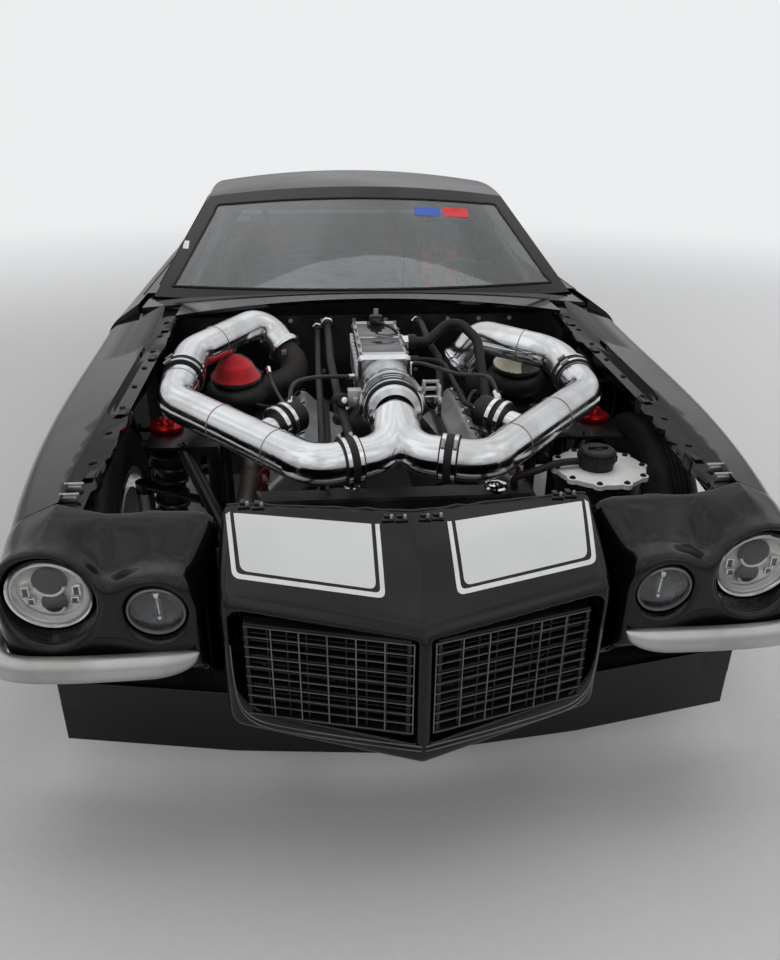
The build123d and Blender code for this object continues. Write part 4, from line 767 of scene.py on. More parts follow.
@dataclass
class Workshop:
    """What every sub-assembly builds with."""

    wardrobe: Wardrobe
    kit: NodeKit

    def draft(self, name: str) -> Draft:
        """New draft under a name."""
        return Draft(name, self.wardrobe)

    def repeat(self, kind: str, name: str, spots: Spots, finish: str, slot: str, body: Body = Body.CAR,
               **values: object) -> None:
        """Args:
            name: Name of the piece.
            spots: Place and facing of each repeat.
            finish: Name of the finish.
            slot: Not used.
            body: Body that it rides on.
            values: The tree's inputs.
        """
        labels = {key.capitalize(): value for key, value in values.items()}
        piece = self.kit.make(getattr(self.kit, kind), name, spots, labels, self.wardrobe[finish])
        settle(piece, body)

    def fasten(self, name: str, spots: Spots, finish: str, size: tuple[float, float, int], slot: str,
               body: Body = Body.CAR) -> None:
        """Fasteners at spots; size is their radius and height in millimetres and their number of sides."""
        self.repeat("fasteners", name, spots, finish, slot, body, radius=size[0] * MM, height=size[1] * MM,
                    sides=size[2])

    def band(self, name: str, spots: Spots, finish: str, size: tuple[float, float, float],
             slot: str) -> None:
        """Bands at spots; size is their radius, width and thickness in millimetres."""
        self.repeat("bands", name, spots, finish, slot, radius=size[0] * MM, width=size[1] * MM,
                    thick=size[2] * MM)


NODE_FINISH = {
    "body_paint": ("front_fender_left", "front_fender_right", "quarter_panel_left", "quarter_panel_right",
                   "door_left", "door_right", "cowl_panel", "roof_shell",
                   "nose_panel", "air_dam", "deck_lid", "rear_deck", "tail_panel", "rocker_panels"),
    "satin_silver": ("bumperettes", "rear_bumper"),
    "chassis_paint": ("chassis_frame", "roll_cage", "floor_pan", "firewall",
                      "front_suspension", "rear_axle"),
    "window_glass": ("windshield", "rear_window", "door_glass_left", "door_glass_right"),
    "lamp_red": ("tail_lamps",),
    "polished_aluminium": ("charge_pipes", "intake_manifold", "throttle_body"),
    "cast_aluminium": ("driveline", "valve_covers"),
    "suede": ("steering_wheel",),
    "cast_iron": ("engine_block", "turbochargers"),
    "header_steel": ("exhaust_headers",),
    "bare_steel": ("knuckle_left", "knuckle_right", "steering_rack", "tie_rods"),
    "hose_rubber": ("pipe_couplings", "engine_hoses"),
    "black_plastic": ("blowoff_valves", "dash", "grille", "coolant_tank"),
    "radiator_core": ("radiator",),
}


class Carried:
    """Finishes of the frame's own parts that stay."""

    @staticmethod
    def dress(shop: Workshop) -> None:
        """Give each kept part its finish."""
        for finish, names in NODE_FINISH.items():
            for name in names:
                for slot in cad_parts[name].material_slots:
                    slot.material = shop.wardrobe[finish]
        log.info("finishes on %d frame parts", sum(len(n) for n in NODE_FINISH.values()))


@dataclass
class Nose:
    """Stripes, grille wires and mouldings of the front end."""

    panel: tuple[Point, ...] = ((88, 256), (373, 305), (354, 179), (88, 119))
    outline: tuple[Point, ...] = ((71, 255), (390, 310), (370, 167), (71, 100))
    line: float = 9.0
    turn: float = 15.0
    grille_x: tuple[float, float] = (20.0, 352.0)
    grille_z: tuple[float, float] = (347.0, 565.0)
    recess: float = 18.0
    rake: float = 0.2736
    wire: float = 1.8
    lip: tuple[Point, ...] = ((4, 328), (90, 327), (190, 329), (290, 334),
                              (340, 345), (368, 376), (378, 440), (380, 520))

    def rounded(self, corners: Sequence[Point], inset: float) -> list[Vector]:
        """Open line down one side of a stripe, round both front corners and up the other side.

        Args:
            corners: Rear inner, rear outer, front outer and front inner corner, in x and s.
            inset: How far the line lies inside the corners.
        Returns:
            Points in millimetres on the flat, from the rear outer to the rear inner corner.
        """
        middle = sum((Vector(c) for c in corners), Vector((0, 0))) / 4
        rear_in, rear_out, front_out, front_in = (Vector(c) for c in corners)
        path = [rear_out, front_out, front_in, rear_in]
        lines = []
        for a, b in zip(path, path[1:]):
            side = Vector((b - a).orthogonal()).normalized()
            side = side if side.dot(middle - a) > 0 else -side
            lines.append((a + side * inset, b + side * inset))
        points = [lines[0][0]]
        for (a, b), (c, d) in zip(lines, lines[1:]):
            one, two = (b - a).normalized(), (d - c).normalized()
            across = one.x * two.y - one.y * two.x
            corner = a + one * (((c - a).x * two.y - (c - a).y * two.x) / across)
            radius = max(self.turn - inset * 0.55, 5.0)
            for k in range(9):
                t = k / 8
                p, q, r = corner - one * radius, corner, corner + two * radius
                points.append(p * (1 - t) ** 2 + q * 2 * t * (1 - t) + r * t * t)
        points.append(lines[-1][1])
        fine = []
        for a, b in zip(points, points[1:]):
            count = max(1, int((b - a).length / 14))
            fine += [a + (b - a) * k / count for k in range(count)]
        return fine + [points[-1]]

    @staticmethod
    def evenly(line: Sequence[Vector], steps: int) -> list[Vector]:
        """Points at even distances along a flat line, with so many steps from end to end."""
        total = np.cumsum([0.0] + [(b - a).length for a, b in zip(line, line[1:])])
        want = np.linspace(0.0, total[-1], steps + 1)
        return [Vector(p) for p in zip(*(np.interp(want, total, [p[k] for p in line]) for k in (0, 1)))]

    def stripes(self, shop: Workshop) -> None:
        """Pale panels and their thin outlines on the nose."""
        draft = shop.draft("stripes")
        skin = Surface("prow_skin")

        def lay(points: Iterable[Vector], side: int) -> list[Vector]:
            """Points on the skin below flat ones."""
            hits = [skin.hit(place(side * p.x, p.y, 900), DOWN) for p in points]
            return [spot + normal * 0.0005 for spot, normal in hits]

        steps, across = 96, 24
        for side in (-1, 1):
            rows = [self.evenly(self.rounded(self.outline, inset), steps) for inset in (0.0, self.line)]
            self.face_up(draft, lay(rows[0] + rows[1], side), quilt(steps, 1), "pinstripe")
            edge = self.rounded(self.panel, 0.0)
            half = len(edge) // 2
            pairs = zip(edge[:half + 1], edge[::-1])
            flat = [a + (b - a) * i / across for a, b in pairs for i in range(across + 1)]
            self.face_up(draft, lay(flat, side), quilt(across, half), "stripe_paint")
        draft.done("body_paint", fix=False)

    @staticmethod
    def face_up(draft: Draft, verts: list[Vector], faces: list[list[int]], finish: str) -> None:
        """Add a film whose faces look up."""
        kept = []
        for face in faces:
            a, b, c, d = (verts[i] for i in face)
            normal = (c - a).cross(d - b)
            if normal.length > 1e-12:
                kept.append(face if normal.z > 0 else face[::-1])
        draft.add(verts, kept, finish)

    def grille(self, shop: Workshop) -> None:
        """Thin bright wires in both grille openings."""
        (x0, x1), (z0, z1) = self.grille_x, self.grille_z
        slope, middle = math.atan(self.rake), (x0 + x1) / 2
        rows, uprights, deep = 10, 6, 0.004
        gap = (x1 - x0) / uprights
        for label, side in SIDES:
            start = place(side * middle, self.recess + 5 + self.rake * middle, z0)
            shop.repeat("bars", f"grille_rows_{label}", [(start, UP)], "dark_wire", "grille_metal",
                        size=((x1 - x0) / math.cos(slope) * MM, deep, self.wire * MM), count=rows,
                        step=(0, 0, (z1 - z0) / (rows - 1) * MM), turn=(0, 0, side * slope))
            first = place(side * (x0 + 1), self.recess + 4 + self.rake * x0, (z0 + z1) / 2)
            shop.repeat("bars", f"grille_uprights_{label}", [(first, UP)], "dark_wire", "grille_metal",
                        size=(self.wire * 1.3 * MM, deep, (z1 - z0) * MM), count=uprights,
                        step=(side * gap * MM, self.rake * gap * MM, 0), turn=(0, 0, side * slope))

    def lips(self, shop: Workshop) -> None:
        """Thin bright mouldings round the lower edge of both openings, and the bead behind the nose."""
        draft = shop.draft("grille_lips")
        for side in (-1, 1):
            for drop, out, radius in ((0, 0, 1.6), (11, -3, 1.3)):
                draft.tube(along((side * x, 8 + self.rake * x + (z - 318) * 0.03 + out * 0.35, z - drop)
                                 for x, z in self.lip), radius, "dark_wire", 8, 6)
        draft.done("grille_metal")
        skin, rear = Surface("prow_skin"), shop.draft("nose_rear_bead")
        widths = (24.25 * k - 388 for k in range(33))
        rear.tube([skin.hit(place(x, 282 + 0.127 * abs(x), 900), DOWN)[0] for x in widths],
                  4.2, "body_paint", 10, 2)
        rear.done("body_paint")

    def build(self, shop: Workshop) -> None:
        """Stripes, wires and mouldings."""
        self.stripes(shop)
        self.grille(shop)
        self.lips(shop)


@dataclass
class Lamps:
    """Headlamps and parking lamps with what shows through their lenses."""

    head_at: tuple[float, float, float] = (740.0, 208.0, 601.0)
    park_at: tuple[float, float, float] = (525.0, 166.0, 576.0)
    tilt: float = 8.0

    def axes(self) -> tuple[Vector, Vector]:
        """Where a lamp faces, a little down, and its own up."""
        turn = math.radians(self.tilt)
        return Vector((0, -math.cos(turn), -math.sin(turn))), Vector((0, -math.sin(turn), math.cos(turn)))

    def head(self, draft: Draft, side: int) -> None:
        """One round headlamp: bright reflector, two projectors each with a white painted highlight along its
        lower edge, ring and lens.
        """
        front, up = self.axes()
        across = Vector((side, 0, 0))
        x, s, z = self.head_at
        middle = place(side * x, s, z)
        for finish, ring, profile in (
                ("black_plastic", False, ((0, -50), (60, -48), (87, -30), (87, -4), (79.2, -4), (78.5, -30),
                                          (0, -36))),
                ("mirror_silver", False, ((0, -25), (40, -24.5), (66, -17), (78.5, -2), (79, -6), (66, -21),
                                          (40, -27.5), (0, -28))),
                ("chrome", True, ((78.5, -6), (87.2, -6), (87.2, 2), (84.5, 6), (80.5, 4), (78.5, -1))),
                ("white_enamel", True, ((66, -16), (76.5, -6), (76.5, -1), (73.5, 1), (65.5, -10)))):
            draft.lathe(profile, middle, front, finish, 64, ring)
        for rise, r in ((21, 31), (-34, 22.5)):
            spot = middle + (up * rise - front * 20) * MM
            draft.lathe([(0, 0), (r + 3, 0), (r + 3, 6), (r, 10.5), (r * 0.86, 12.5),
                         (r * 0.5, 16.5), (0, 18)],
                        spot, front, "dial_face", 40)
            # White tube along the lower edge of each dark projector: a painted highlight in place of the
            # bright crescent of light in its lens.
            painted_glint = [spot + ((across * math.sin(a) - up * math.cos(a)) * (r - 1) + front * 11.5) * MM
                        for a in (math.radians(-72 + 12 * k) for k in range(13))]
            draft.tube(painted_glint, 3.2, "white_enamel", 10, 1)
        for way in (-1, 1):
            for slide, rise, high in ((50, -2, 12), (43, -26, 8)):
                spot = middle + (across * way * slide + up * rise - front * 14) * MM
                draft.chip(spot, (-8, -4, -high), (8, 4, high), "chrome", 0.002)
                draft.chip(spot, (-5, -5.5, -high + 3), (5, 0, high - 3), "dial_face", 0.001)
        draft.lathe([(0, 13), (30, 11.5), (55, 7.5), (70, 2.8), (78.5, -0.8),
                     (78.2, -3.2), (69, 0.6), (54, 5.2),
                     (30, 9.2), (0, 10.6)], middle, front, "lens_glass", 64)

    def park(self, draft: Draft, side: int) -> None:
        """One round parking lamp: smoked bowl, clear upright bulb and fluted lens."""
        front, up = self.axes()
        x, s, z = self.park_at
        middle = place(side * x, s, z)
        draft.lathe([(0, -50), (42, -46), (59.2, -30), (59.2, -4), (54, -4), (50, -20), (34, -34), (0, -38)],
                    middle, front, "smoked_silver", 56)
        draft.lathe([(52.5, -5), (59.2, -5), (59.4, 1), (57.5, 3.6), (54.5, 2.8), (52.5, -1)], middle, front,
                    "dark_wire", 56, True)
        bulb = middle - front * 0.022
        draft.lathe([(0, -30), (4.5, -29), (6.2, -20), (6.4, 16), (4.5, 24), (0, 26)],
                    bulb, up, "lens_glass", 20)
        draft.lathe([(0, -24), (2.4, -23), (2.4, 18), (0, 20)], bulb, up, "chrome", 10)
        for rise in (-0.032, 0.028):
            draft.lathe([(0, -6), (7.5, -6), (8.5, 0), (7.5, 6), (0, 6)], bulb + up * rise, up, "chrome", 20)
        flutes, wide = 12, 52.5
        lens = [(0, 8.5)]
        for k in range(1, flutes + 1):
            r = wide * k / flutes
            lens.append((r, 8.5 - 0.0034 * r ** 2 + (0.4 if k % 2 else -0.4)))
        draft.lathe([*lens, (52.2, -3.4), (30, 3.2), (0, 5.8)], middle, front, "lens_glass", 56)

    def build(self, shop: Workshop) -> None:
        """All four front lamps."""
        heads, parks = shop.draft("headlamp_units"), shop.draft("parking_lamp_units")
        for side in (-1, 1):
            self.head(heads, side)
            self.park(parks, side)
        heads.done("lamp_glass", replaces=["headlamps"])
        parks.done("lamp_glass", replaces=["parking_lamps"])


@dataclass
class Wheels:
    """Tyres with tread and sidewall rings, and the rims' small parts."""

    rim_r: float = 0.195
    corners: tuple[tuple[str, float, float, float, float, float, float], ...] = (
        ("front", 0.8, 958.0, 0.33, 0.13, 0.11, 0.04), ("rear", 0.762, 3701.0, 0.37, 0.3, 0.262, 0.12),
    )

    def profile(self, radius: float, wide: float, rim_wide: float, slick: bool) -> list[tuple[float, float]]:
        """Outline of the tyre as (radius, distance across), closed on itself."""
        half, bead, r0 = wide / 2, rim_wide / 2, self.rim_r
        lip = r0 + 0.0103
        wall = radius - r0
        side = [(r0 + 0.0003, bead - 0.0004), (lip, bead - 0.0004), (lip + 0.004, bead + 0.004),
                (lip + 0.012, half - 0.006)]
        for share, out in ((0.2, 0.001), (0.23, -0.0008), (0.3, -0.0012), (0.33, 0.0),
                           (0.45, 0.0), (0.58, 0.0), (0.6, -0.0015), (0.62, 0.0)):
            side.append((r0 + wall * share, half - out - 0.0003))
        side += [(radius - 0.034, half - 0.004), (radius - 0.02, half - 0.009),
                 (radius - 0.008, half - 0.018), (radius - 0.002, half - 0.028)]
        tread: list[tuple[float, float]] = []
        flat = half - 0.032
        if slick:
            steps = 12
            for k in range(steps + 1):
                x = flat - 2 * flat * k / steps
                tread.append((radius - 0.0022 * (x / flat) ** 2, x))
        else:
            ribs, groove = 5, 0.0028
            pitch = 2 * flat / ribs
            for k in range(ribs):
                right, left = flat - k * pitch, flat - (k + 1) * pitch
                tread += [(radius - 0.0004, right - groove), (radius - 0.0004, left + groove)]
                if k < ribs - 1:
                    tread += [(radius - 0.006, left + groove * 0.6), (radius - 0.006, left - groove * 0.6)]
        mirrored = [(r, -x) for r, x in reversed(side)]
        inner = [(r0 + 0.0003, 0.014 - bead), (r0 + 0.022, 0.022 - half), (radius - 0.036, 0.018 - half),
                 (radius - 0.014, 0.04 - half), (radius - 0.014, half - 0.04),
                 (radius - 0.036, half - 0.018), (r0 + 0.022, half - 0.022), (r0 + 0.0003, bead - 0.014)]
        return side + tread + mirrored + inner

    def build(self, shop: Workshop) -> None:
        """Tyres, wheel nuts, caps and rim bolts at all four corners."""
        for end, x, s, z, wide, rim_wide, dish in self.corners:
            for label, side in SIDES:
                where = f"{end}_{label}"
                body = Body(f"wheel_{where}")
                middle, out = place(side * x / MM, s, z / MM), Vector((side, 0, 0))
                tyre = shop.draft(f"tyre_{where}_tread")
                tyre.lathe(self.profile(z, wide, rim_wide, end == "rear"), middle, out,
                           "tyre_rubber", 112, True, 1.0)
                tyre.done("tyre_rubber", body, [f"tyre_{where}"], sharp=50)
                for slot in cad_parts[f"rim_{where}"].material_slots:
                    slot.material = shop.wardrobe["polished_aluminium"]
                centre = rim_wide / 2 - dish
                nuts = circle(middle + out * (centre + 0.0222), BACK, UP, 42, 5, 0.5)
                shop.fasten(f"wheel_nuts_{where}", [(p, out) for p in nuts], "chrome",
                            (9.5, 20, 6), "bare_steel", body)
                lip = circle(middle + out * (rim_wide / 2 + 0.0062), BACK, UP, self.rim_r / MM + 0.5, 24)
                shop.fasten(f"rim_bolts_{where}", [(p, out) for p in lip], "bare_steel",
                            (3.4, 3, 6), "bare_steel", body)
                cap = shop.draft(f"wheel_cap_{where}")
                cap.lathe([(0, 24), (16, 23), (24, 18), (26, 0), (0, 0)],
                          middle + out * (centre + 0.0215), out, "chrome", 40)
                valve = middle + Vector((0, 0.02, 0.17)) + out * (rim_wide / 2 - 0.02)
                cap.lathe([(0, 20), (3, 20), (4.5, 4), (6, 0), (0, -4)], valve, out, "black_plastic", 12)
                cap.done("bare_steel", body)


@dataclass
class CapCovers:
    """Padded fabric covers over the turbo inlets, blown up by simulation."""

    tilt: float = 8.0
    caps: tuple[tuple[str, float, float], ...] = (("left", 478.0, 1360.0), ("right", -445.0, 1298.0))
    turbo_z: float = 660.0
    rim: float = 0.0815
    low: float = 0.0365
    high: float = 0.0575
    tip: float = 0.124
    frames: int = 20

    def shell(self, name: str) -> bpy.types.Object:
        """Slightly small closed cone on its skirt, standing on the origin."""
        rim, low, high, tip = self.rim, self.low, self.high, self.tip
        rows = [(rim - 0.004, low + 0.003), (rim, low + 0.008), (rim, high - 0.004),
                (rim - 0.008, high + 0.002), (rim * 0.82, high + 0.012), (rim * 0.66, high + 0.036),
                (rim * 0.36, tip - 0.009), (0.01, tip)]
        steps = 48
        mesh = bpy.data.meshes.new(name)
        mesh.from_pydata([(r * c, r * d, z) for r, z in rows for c, d in around(steps)], [],
                         hoops(len(rows), steps))
        return stand(name, mesh)

    @classmethod
    def inflate(cls, piece: bpy.types.Object, voxel: float, pressure: float, cap: float) -> None:
        """Swell a closed mesh as cloth under pressure, and apply the result.

        Args:
            piece: Closed mesh, a little small.
            voxel: Size of its new faces, in metres.
            pressure: Pressure inside.
            cap: Farthest that a point may move, in metres.
        """
        remesh = piece.modifiers.new("even", "REMESH")
        remesh.mode = "VOXEL"
        remesh.voxel_size = voxel
        bake(piece)
        start = [v.co.copy() for v in piece.data.vertices]
        cloth = piece.modifiers.new("swell", "CLOTH")
        cloth.settings.use_pressure = True
        cloth.settings.uniform_pressure_force = pressure
        cloth.settings.effector_weights.gravity = 0.0
        cloth.point_cache.frame_start, cloth.point_cache.frame_end = 1, cls.frames
        for k in range(1, cls.frames + 1):
            bpy.context.scene.frame_set(k)
        bake(piece)
        for vert, before in zip(piece.data.vertices, start):
            move = vert.co - before
            if move.length > cap:
                vert.co = before + move.normalized() * cap
        bpy.context.scene.frame_set(1)

    def sew(self, piece: bpy.types.Object, panels: Callable[[float], str], wardrobe: Wardrobe) -> None:
        """Press in the four seams and the hem line, and colour the panels between them."""
        for vert in piece.data.vertices:
            r = math.hypot(vert.co.x, vert.co.y)
            if r > 0.006:
                angle = math.degrees(math.atan2(vert.co.y, vert.co.x)) % 90
                off = math.radians(min(angle, 90 - angle)) * r
                press = 0.0016 * math.exp(-((off / 0.0024) ** 2)) if vert.co.z > self.low + 0.006 else 0.0
                hem = 0.0014 * math.exp(-(((vert.co.z - self.low - 0.013) / 0.0022) ** 2))
                scale = 1 - (press + (hem if r > self.rim * 0.8 else 0)) / r
                vert.co.x, vert.co.y = vert.co.x * scale, vert.co.y * scale
        names = ["fabric_black", "fabric_red", "fabric_cream", "fabric_grey"]
        piece.data.materials.clear()
        for name in names:
            piece.data.materials.append(wardrobe[name])
        shade_smooth(piece.data)
        for polygon in piece.data.polygons:
            x, y, z = polygon.center
            skirt = z <= self.high - 0.002
            polygon.material_index = names.index(
                "fabric_black" if skirt else panels(math.degrees(math.atan2(y, x)) % 360))

    def build(self, shop: Workshop) -> None:
        """Both covers."""
        panels = {
            "left": lambda a: "fabric_cream" if 90 <= a < 270 else "fabric_grey",
            "right": lambda a: "fabric_red" if a >= 180 else "fabric_black",
        }
        for label, x, s in self.caps:
            piece = self.shell(f"cap_cover_{label}")
            self.inflate(piece, 0.0045, 4.0, 0.006)
            self.sew(piece, panels[label], shop.wardrobe)
            turn = Matrix.Rotation(math.radians(self.tilt), 4, "X")
            piece.data.transform(Matrix.Translation(place(x, s, self.turbo_z)) @ turn)
            fine = piece.modifiers.new("fine", "SUBSURF")
            fine.levels = fine.render_levels = 1
            bake(piece)
            settle(piece, Body.CAR, ["turbo_caps"])


@dataclass
class Cabin:
    """Driver's seat with its harness, dash dials and switches, and the wheel's grip."""

    seat_x: tuple[float, float] = (230.0, 600.0)
    seat_s: tuple[float, float] = (2330.0, 2860.0)
    back_s: float = 2720.0
    base_z: float = 420.0
    top_z: float = 1000.0
    dash_s: float = 1959.6
    hub: tuple[float, float, float] = (400.0, 2130.0, 770.0)
    column: tuple[float, float, float] = (0.0, 0.9396926, 0.3420201)

    @staticmethod
    def pad(name: str, low: Point, high: Point, face: int, wardrobe: Wardrobe) -> bpy.types.Object:
        """Padded block between two corners, swollen, with sewn channels across one face.

        Args:
            name: Name of the pad.
            low: Lowest corner, in x, s and z.
            high: Highest corner.
            face: Axis that the sat-on face looks along: 1 for a back, 2 for a cushion.
            wardrobe: The finishes.
        Returns:
            The pad, with its fabric.
        """
        a, b = place(*low), place(*high)
        middle, half = (a + b) / 2, (b - a) / 2 - Vector((0.008, 0.008, 0.008))
        work = bmesh.new()
        where = Matrix.Translation(middle) @ Matrix.Diagonal((*half, 1.0))
        bmesh.ops.create_cube(work, size=2.0, matrix=where)
        bmesh.ops.bevel(work, geom=work.edges[:], offset=min(half) * 0.6, segments=4,
                        affect="EDGES", profile=0.5)
        piece = stand(name, write_mesh(work, bpy.data.meshes.new(name)))
        CapCovers.inflate(piece, 0.006, 4.0, 0.007)
        inward = 1 if face == 1 else -1
        step = half.x * 2 / 6
        for vert in piece.data.vertices:
            away = vert.co - middle
            lift = away[face] / half[face] * -inward
            if lift > 0.45 and abs(away.x) < half.x * 0.86:
                near = (away.x + step / 2) % step - step / 2
                deep = 0.0055 * min((lift - 0.45) * 3, 1.0)
                vert.co[face] += inward * deep * math.exp(-((near / 0.005) ** 2))
        piece.data.materials.clear()
        for fabric in ("fabric_black", "fabric_grey"):
            piece.data.materials.append(wardrobe[fabric])
        shade_smooth(piece.data)
        for polygon in piece.data.polygons:
            polygon.material_index = int(abs(polygon.center.x - middle.x) < half.x * 0.5)
        return piece

    @staticmethod
    def strap(draft: Draft, points: Sequence[Vector], wide: float = 0.05) -> None:
        """Flat webbing along points, its width across the car."""
        line = smooth_line(points, 6)
        verts = []
        for i, point in enumerate(line):
            ahead = heading(line, i)
            across = Vector((1, 0, 0)) - ahead * ahead.x
            across = across.normalized() if across.length > 0.2 else BACK
            thick = ahead.cross(across).normalized() * 0.0012
            half = across * wide / 2
            verts += [point - half - thick, point + half - thick, point + half + thick, point - half + thick]
        draft.add(verts, hoops(len(line), 4), "fabric_red", smooth=False)

    def shell(self, shop: Workshop) -> None:
        """The seat's shell, its side plates and their bolts."""
        (x0, x1), (s0, s1) = self.seat_x, self.seat_s
        shell = shop.draft("seat_shell")
        shell.box((x0 + 14, x1 - 14), (s0 + 20, s1 - 20), (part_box("seat")[0][2] / MM, 306), "satin_silver",
                  0.01)
        shell.box((x0 + 6, x1 - 6), (s1 - 16, s1 - 3), (290, self.top_z - 8), "black_plastic", 0.006)
        outline = ((s0 + 14, 292), (s0 + 10, 386), (s0 + 60, 410), (2560, 400), (2690, 440), (2716, 560),
                   (2706, 760), (2730, 812), (2748, 860), (2752, 960), (2790, 990),
                   (s1 - 6, 994), (s1 - 6, 292))
        for label, side in SIDES:
            x = x0 + 2 if side < 0 else x1 - 14
            shell.slab(along((x, s, z) for s, z in outline), Vector((0.012, 0, 0)), "black_plastic")
            spots = [(place(x0 + 1.2 if side < 0 else x1 - 1.2, s, z), Vector((side, 0, 0)))
                     for s, z in ((2390, 340), (2640, 340), (2820, 480), (2820, 880))]
            shop.fasten(f"seat_bolts_{label}", spots, "bare_steel", (6, 3, 6), "seat_fabric")
        shell.done("seat_fabric", replaces=["seat"])

    def pads(self, shop: Workshop) -> None:
        """Cushion, back and head pads."""
        (x0, x1), (s0, s1) = self.seat_x, self.seat_s
        for name, low, high, face in (
                ("seat_cushion", (x0 + 16, s0 + 14, 300), (x1 - 16, self.back_s - 4, self.base_z - 4), 2),
                ("seat_back_pad", (x0 + 16, self.back_s + 14, 396), (x1 - 16, s1 - 18, 836), 1),
                ("seat_head_pad", (x0 + 84, self.back_s + 22, 850), (x1 - 84, s1 - 18, 984), 1)):
            piece = self.pad(name, low, high, face, shop.wardrobe)
            settle(piece, Body.CAR, ["seat"])

    def harness(self, shop: Workshop) -> None:
        """Shoulder and lap belts with their buckles."""
        belts = shop.draft("harness")
        middle = sum(self.seat_x) / 2
        shoulder = ((60, 2842, 880), (60, 2800, 868), (60, 2738, 846), (60, 2726, 760), (60, 2724, 600),
                    (60, 2712, 500), (34, 2640, 440))
        lap = ((165, 2700, 436), (120, 2650, 433), (60, 2634, 434), (26, 2630, 436))
        for side in (-1, 1):
            for belt in (shoulder, lap):
                self.strap(belts, along((middle + side * x, s, z) for x, s, z in belt))
            belts.box((middle + side * 60 - 31, middle + side * 60 + 31), (2714, 2722), (640, 668), "chrome")
        belts.lathe([(0, -4), (30, -4), (32, 2), (30, 10), (20, 13), (0, 14)], place(middle, 2634, 440),
                    (0, -0.2, 1), "chrome", 32)
        belts.done("seat_fabric")

    def dials(self, shop: Workshop) -> None:
        """Round dials, a blank display, a switch row and the tachometer on the dash."""
        draft = shop.draft("dash_dials")
        for x, z, r in ((290, 772, 27), (352, 786, 30), (452, 786, 30), (514, 772, 27), (200, 772, 24),
                        (140, 772, 24)):
            spot = place(x, self.dash_s, z)
            draft.lathe([(0, 0), (r, 0), (r, 6), (0, 6.2)], spot, BACK, "dial_face", 40)
            draft.lathe([(r * 0.93, 4), (r * 1.06, 0), (r * 1.06, 8), (r * 0.97, 9.5), (r * 0.93, 8)], spot,
                        BACK, "chrome", 40, True)
            draft.chip(spot, (-0.7, 6.2, -2), (0.7, 7.2, r * 0.72), "white_enamel", 0.0002)
            for k in range(9):
                a = math.radians(-40 + 32.5 * k)
                mark = spot + Vector((math.cos(a) * r * 0.78, 6.4, math.sin(a) * r * 0.78)) * MM
                draft.chip(mark, (-0.8, 0, -0.8), (0.8, 0.6, 0.8), "white_enamel", 0.0002)
        draft.box((-90, 70), (self.dash_s, 1965), (742, 808), "black_plastic", 0.004)
        draft.box((-80, 60), (1964, 1966), (750, 800), "gloss_insert", 0.002)
        draft.box((-400, -140), (self.dash_s, 1962), (748, 800), "cast_aluminium", 0.003)
        for finish, profile in (("black_plastic", ((0, -40), (50, -30), (53, 0), (53, 22), (49, 24),
                                                   (48, 16), (0, 16))),
                                ("dial_face", ((0, 16.5), (47, 16.5), (47, 18.5), (0, 18.5)))):
            draft.lathe(profile, place(470, 1930, 893), (0, 1, -0.1), finish, 44)
        draft.done("black_plastic")
        spots = [(place(-380 + 40 * k, 1962, 774), BACK) for k in range(6)]
        shop.fasten("dash_switches", spots, "bare_steel", (4, 20, 12), "black_plastic")

    def wheel(self, shop: Workshop) -> None:
        """Grip stitches, hub plate and bolts on the steering wheel."""
        hub, axis = place(*self.hub), Vector(self.column)
        draft = shop.draft("wheel_hub")
        draft.lathe([(0, 9), (33, 9), (36, 11), (36, 13.5), (14, 15), (0, 15)], hub,
                    axis, "red_anodised", 40)
        draft.lathe([(0, 14), (12, 14), (12, 20), (0, 22)], hub, axis, "black_plastic", 24)
        draft.done("black_plastic", Body.STEERING_WHEEL)
        u, v, _ = frame_of(axis)
        bolts = [(p, axis) for p in circle(hub + axis * 0.0136, u, v, 25, 6)]
        shop.fasten("wheel_hub_bolts", bolts, "chrome", (3.4, 3, 6), "black_plastic", Body.STEERING_WHEEL)
        rim = hub + axis * 0.0006
        stitches = [(p, (rim - p).normalized()) for p in circle(rim, u, v, 146.1, 72)]
        shop.fasten("grip_stitches", stitches, "lead_red", (1.1, 0.8, 5),
                    "black_plastic", Body.STEERING_WHEEL)

    def build(self, shop: Workshop) -> None:
        """Seat, dash and wheel."""
        for step in (self.shell, self.pads, self.harness, self.dials, self.wheel):
            step(shop)


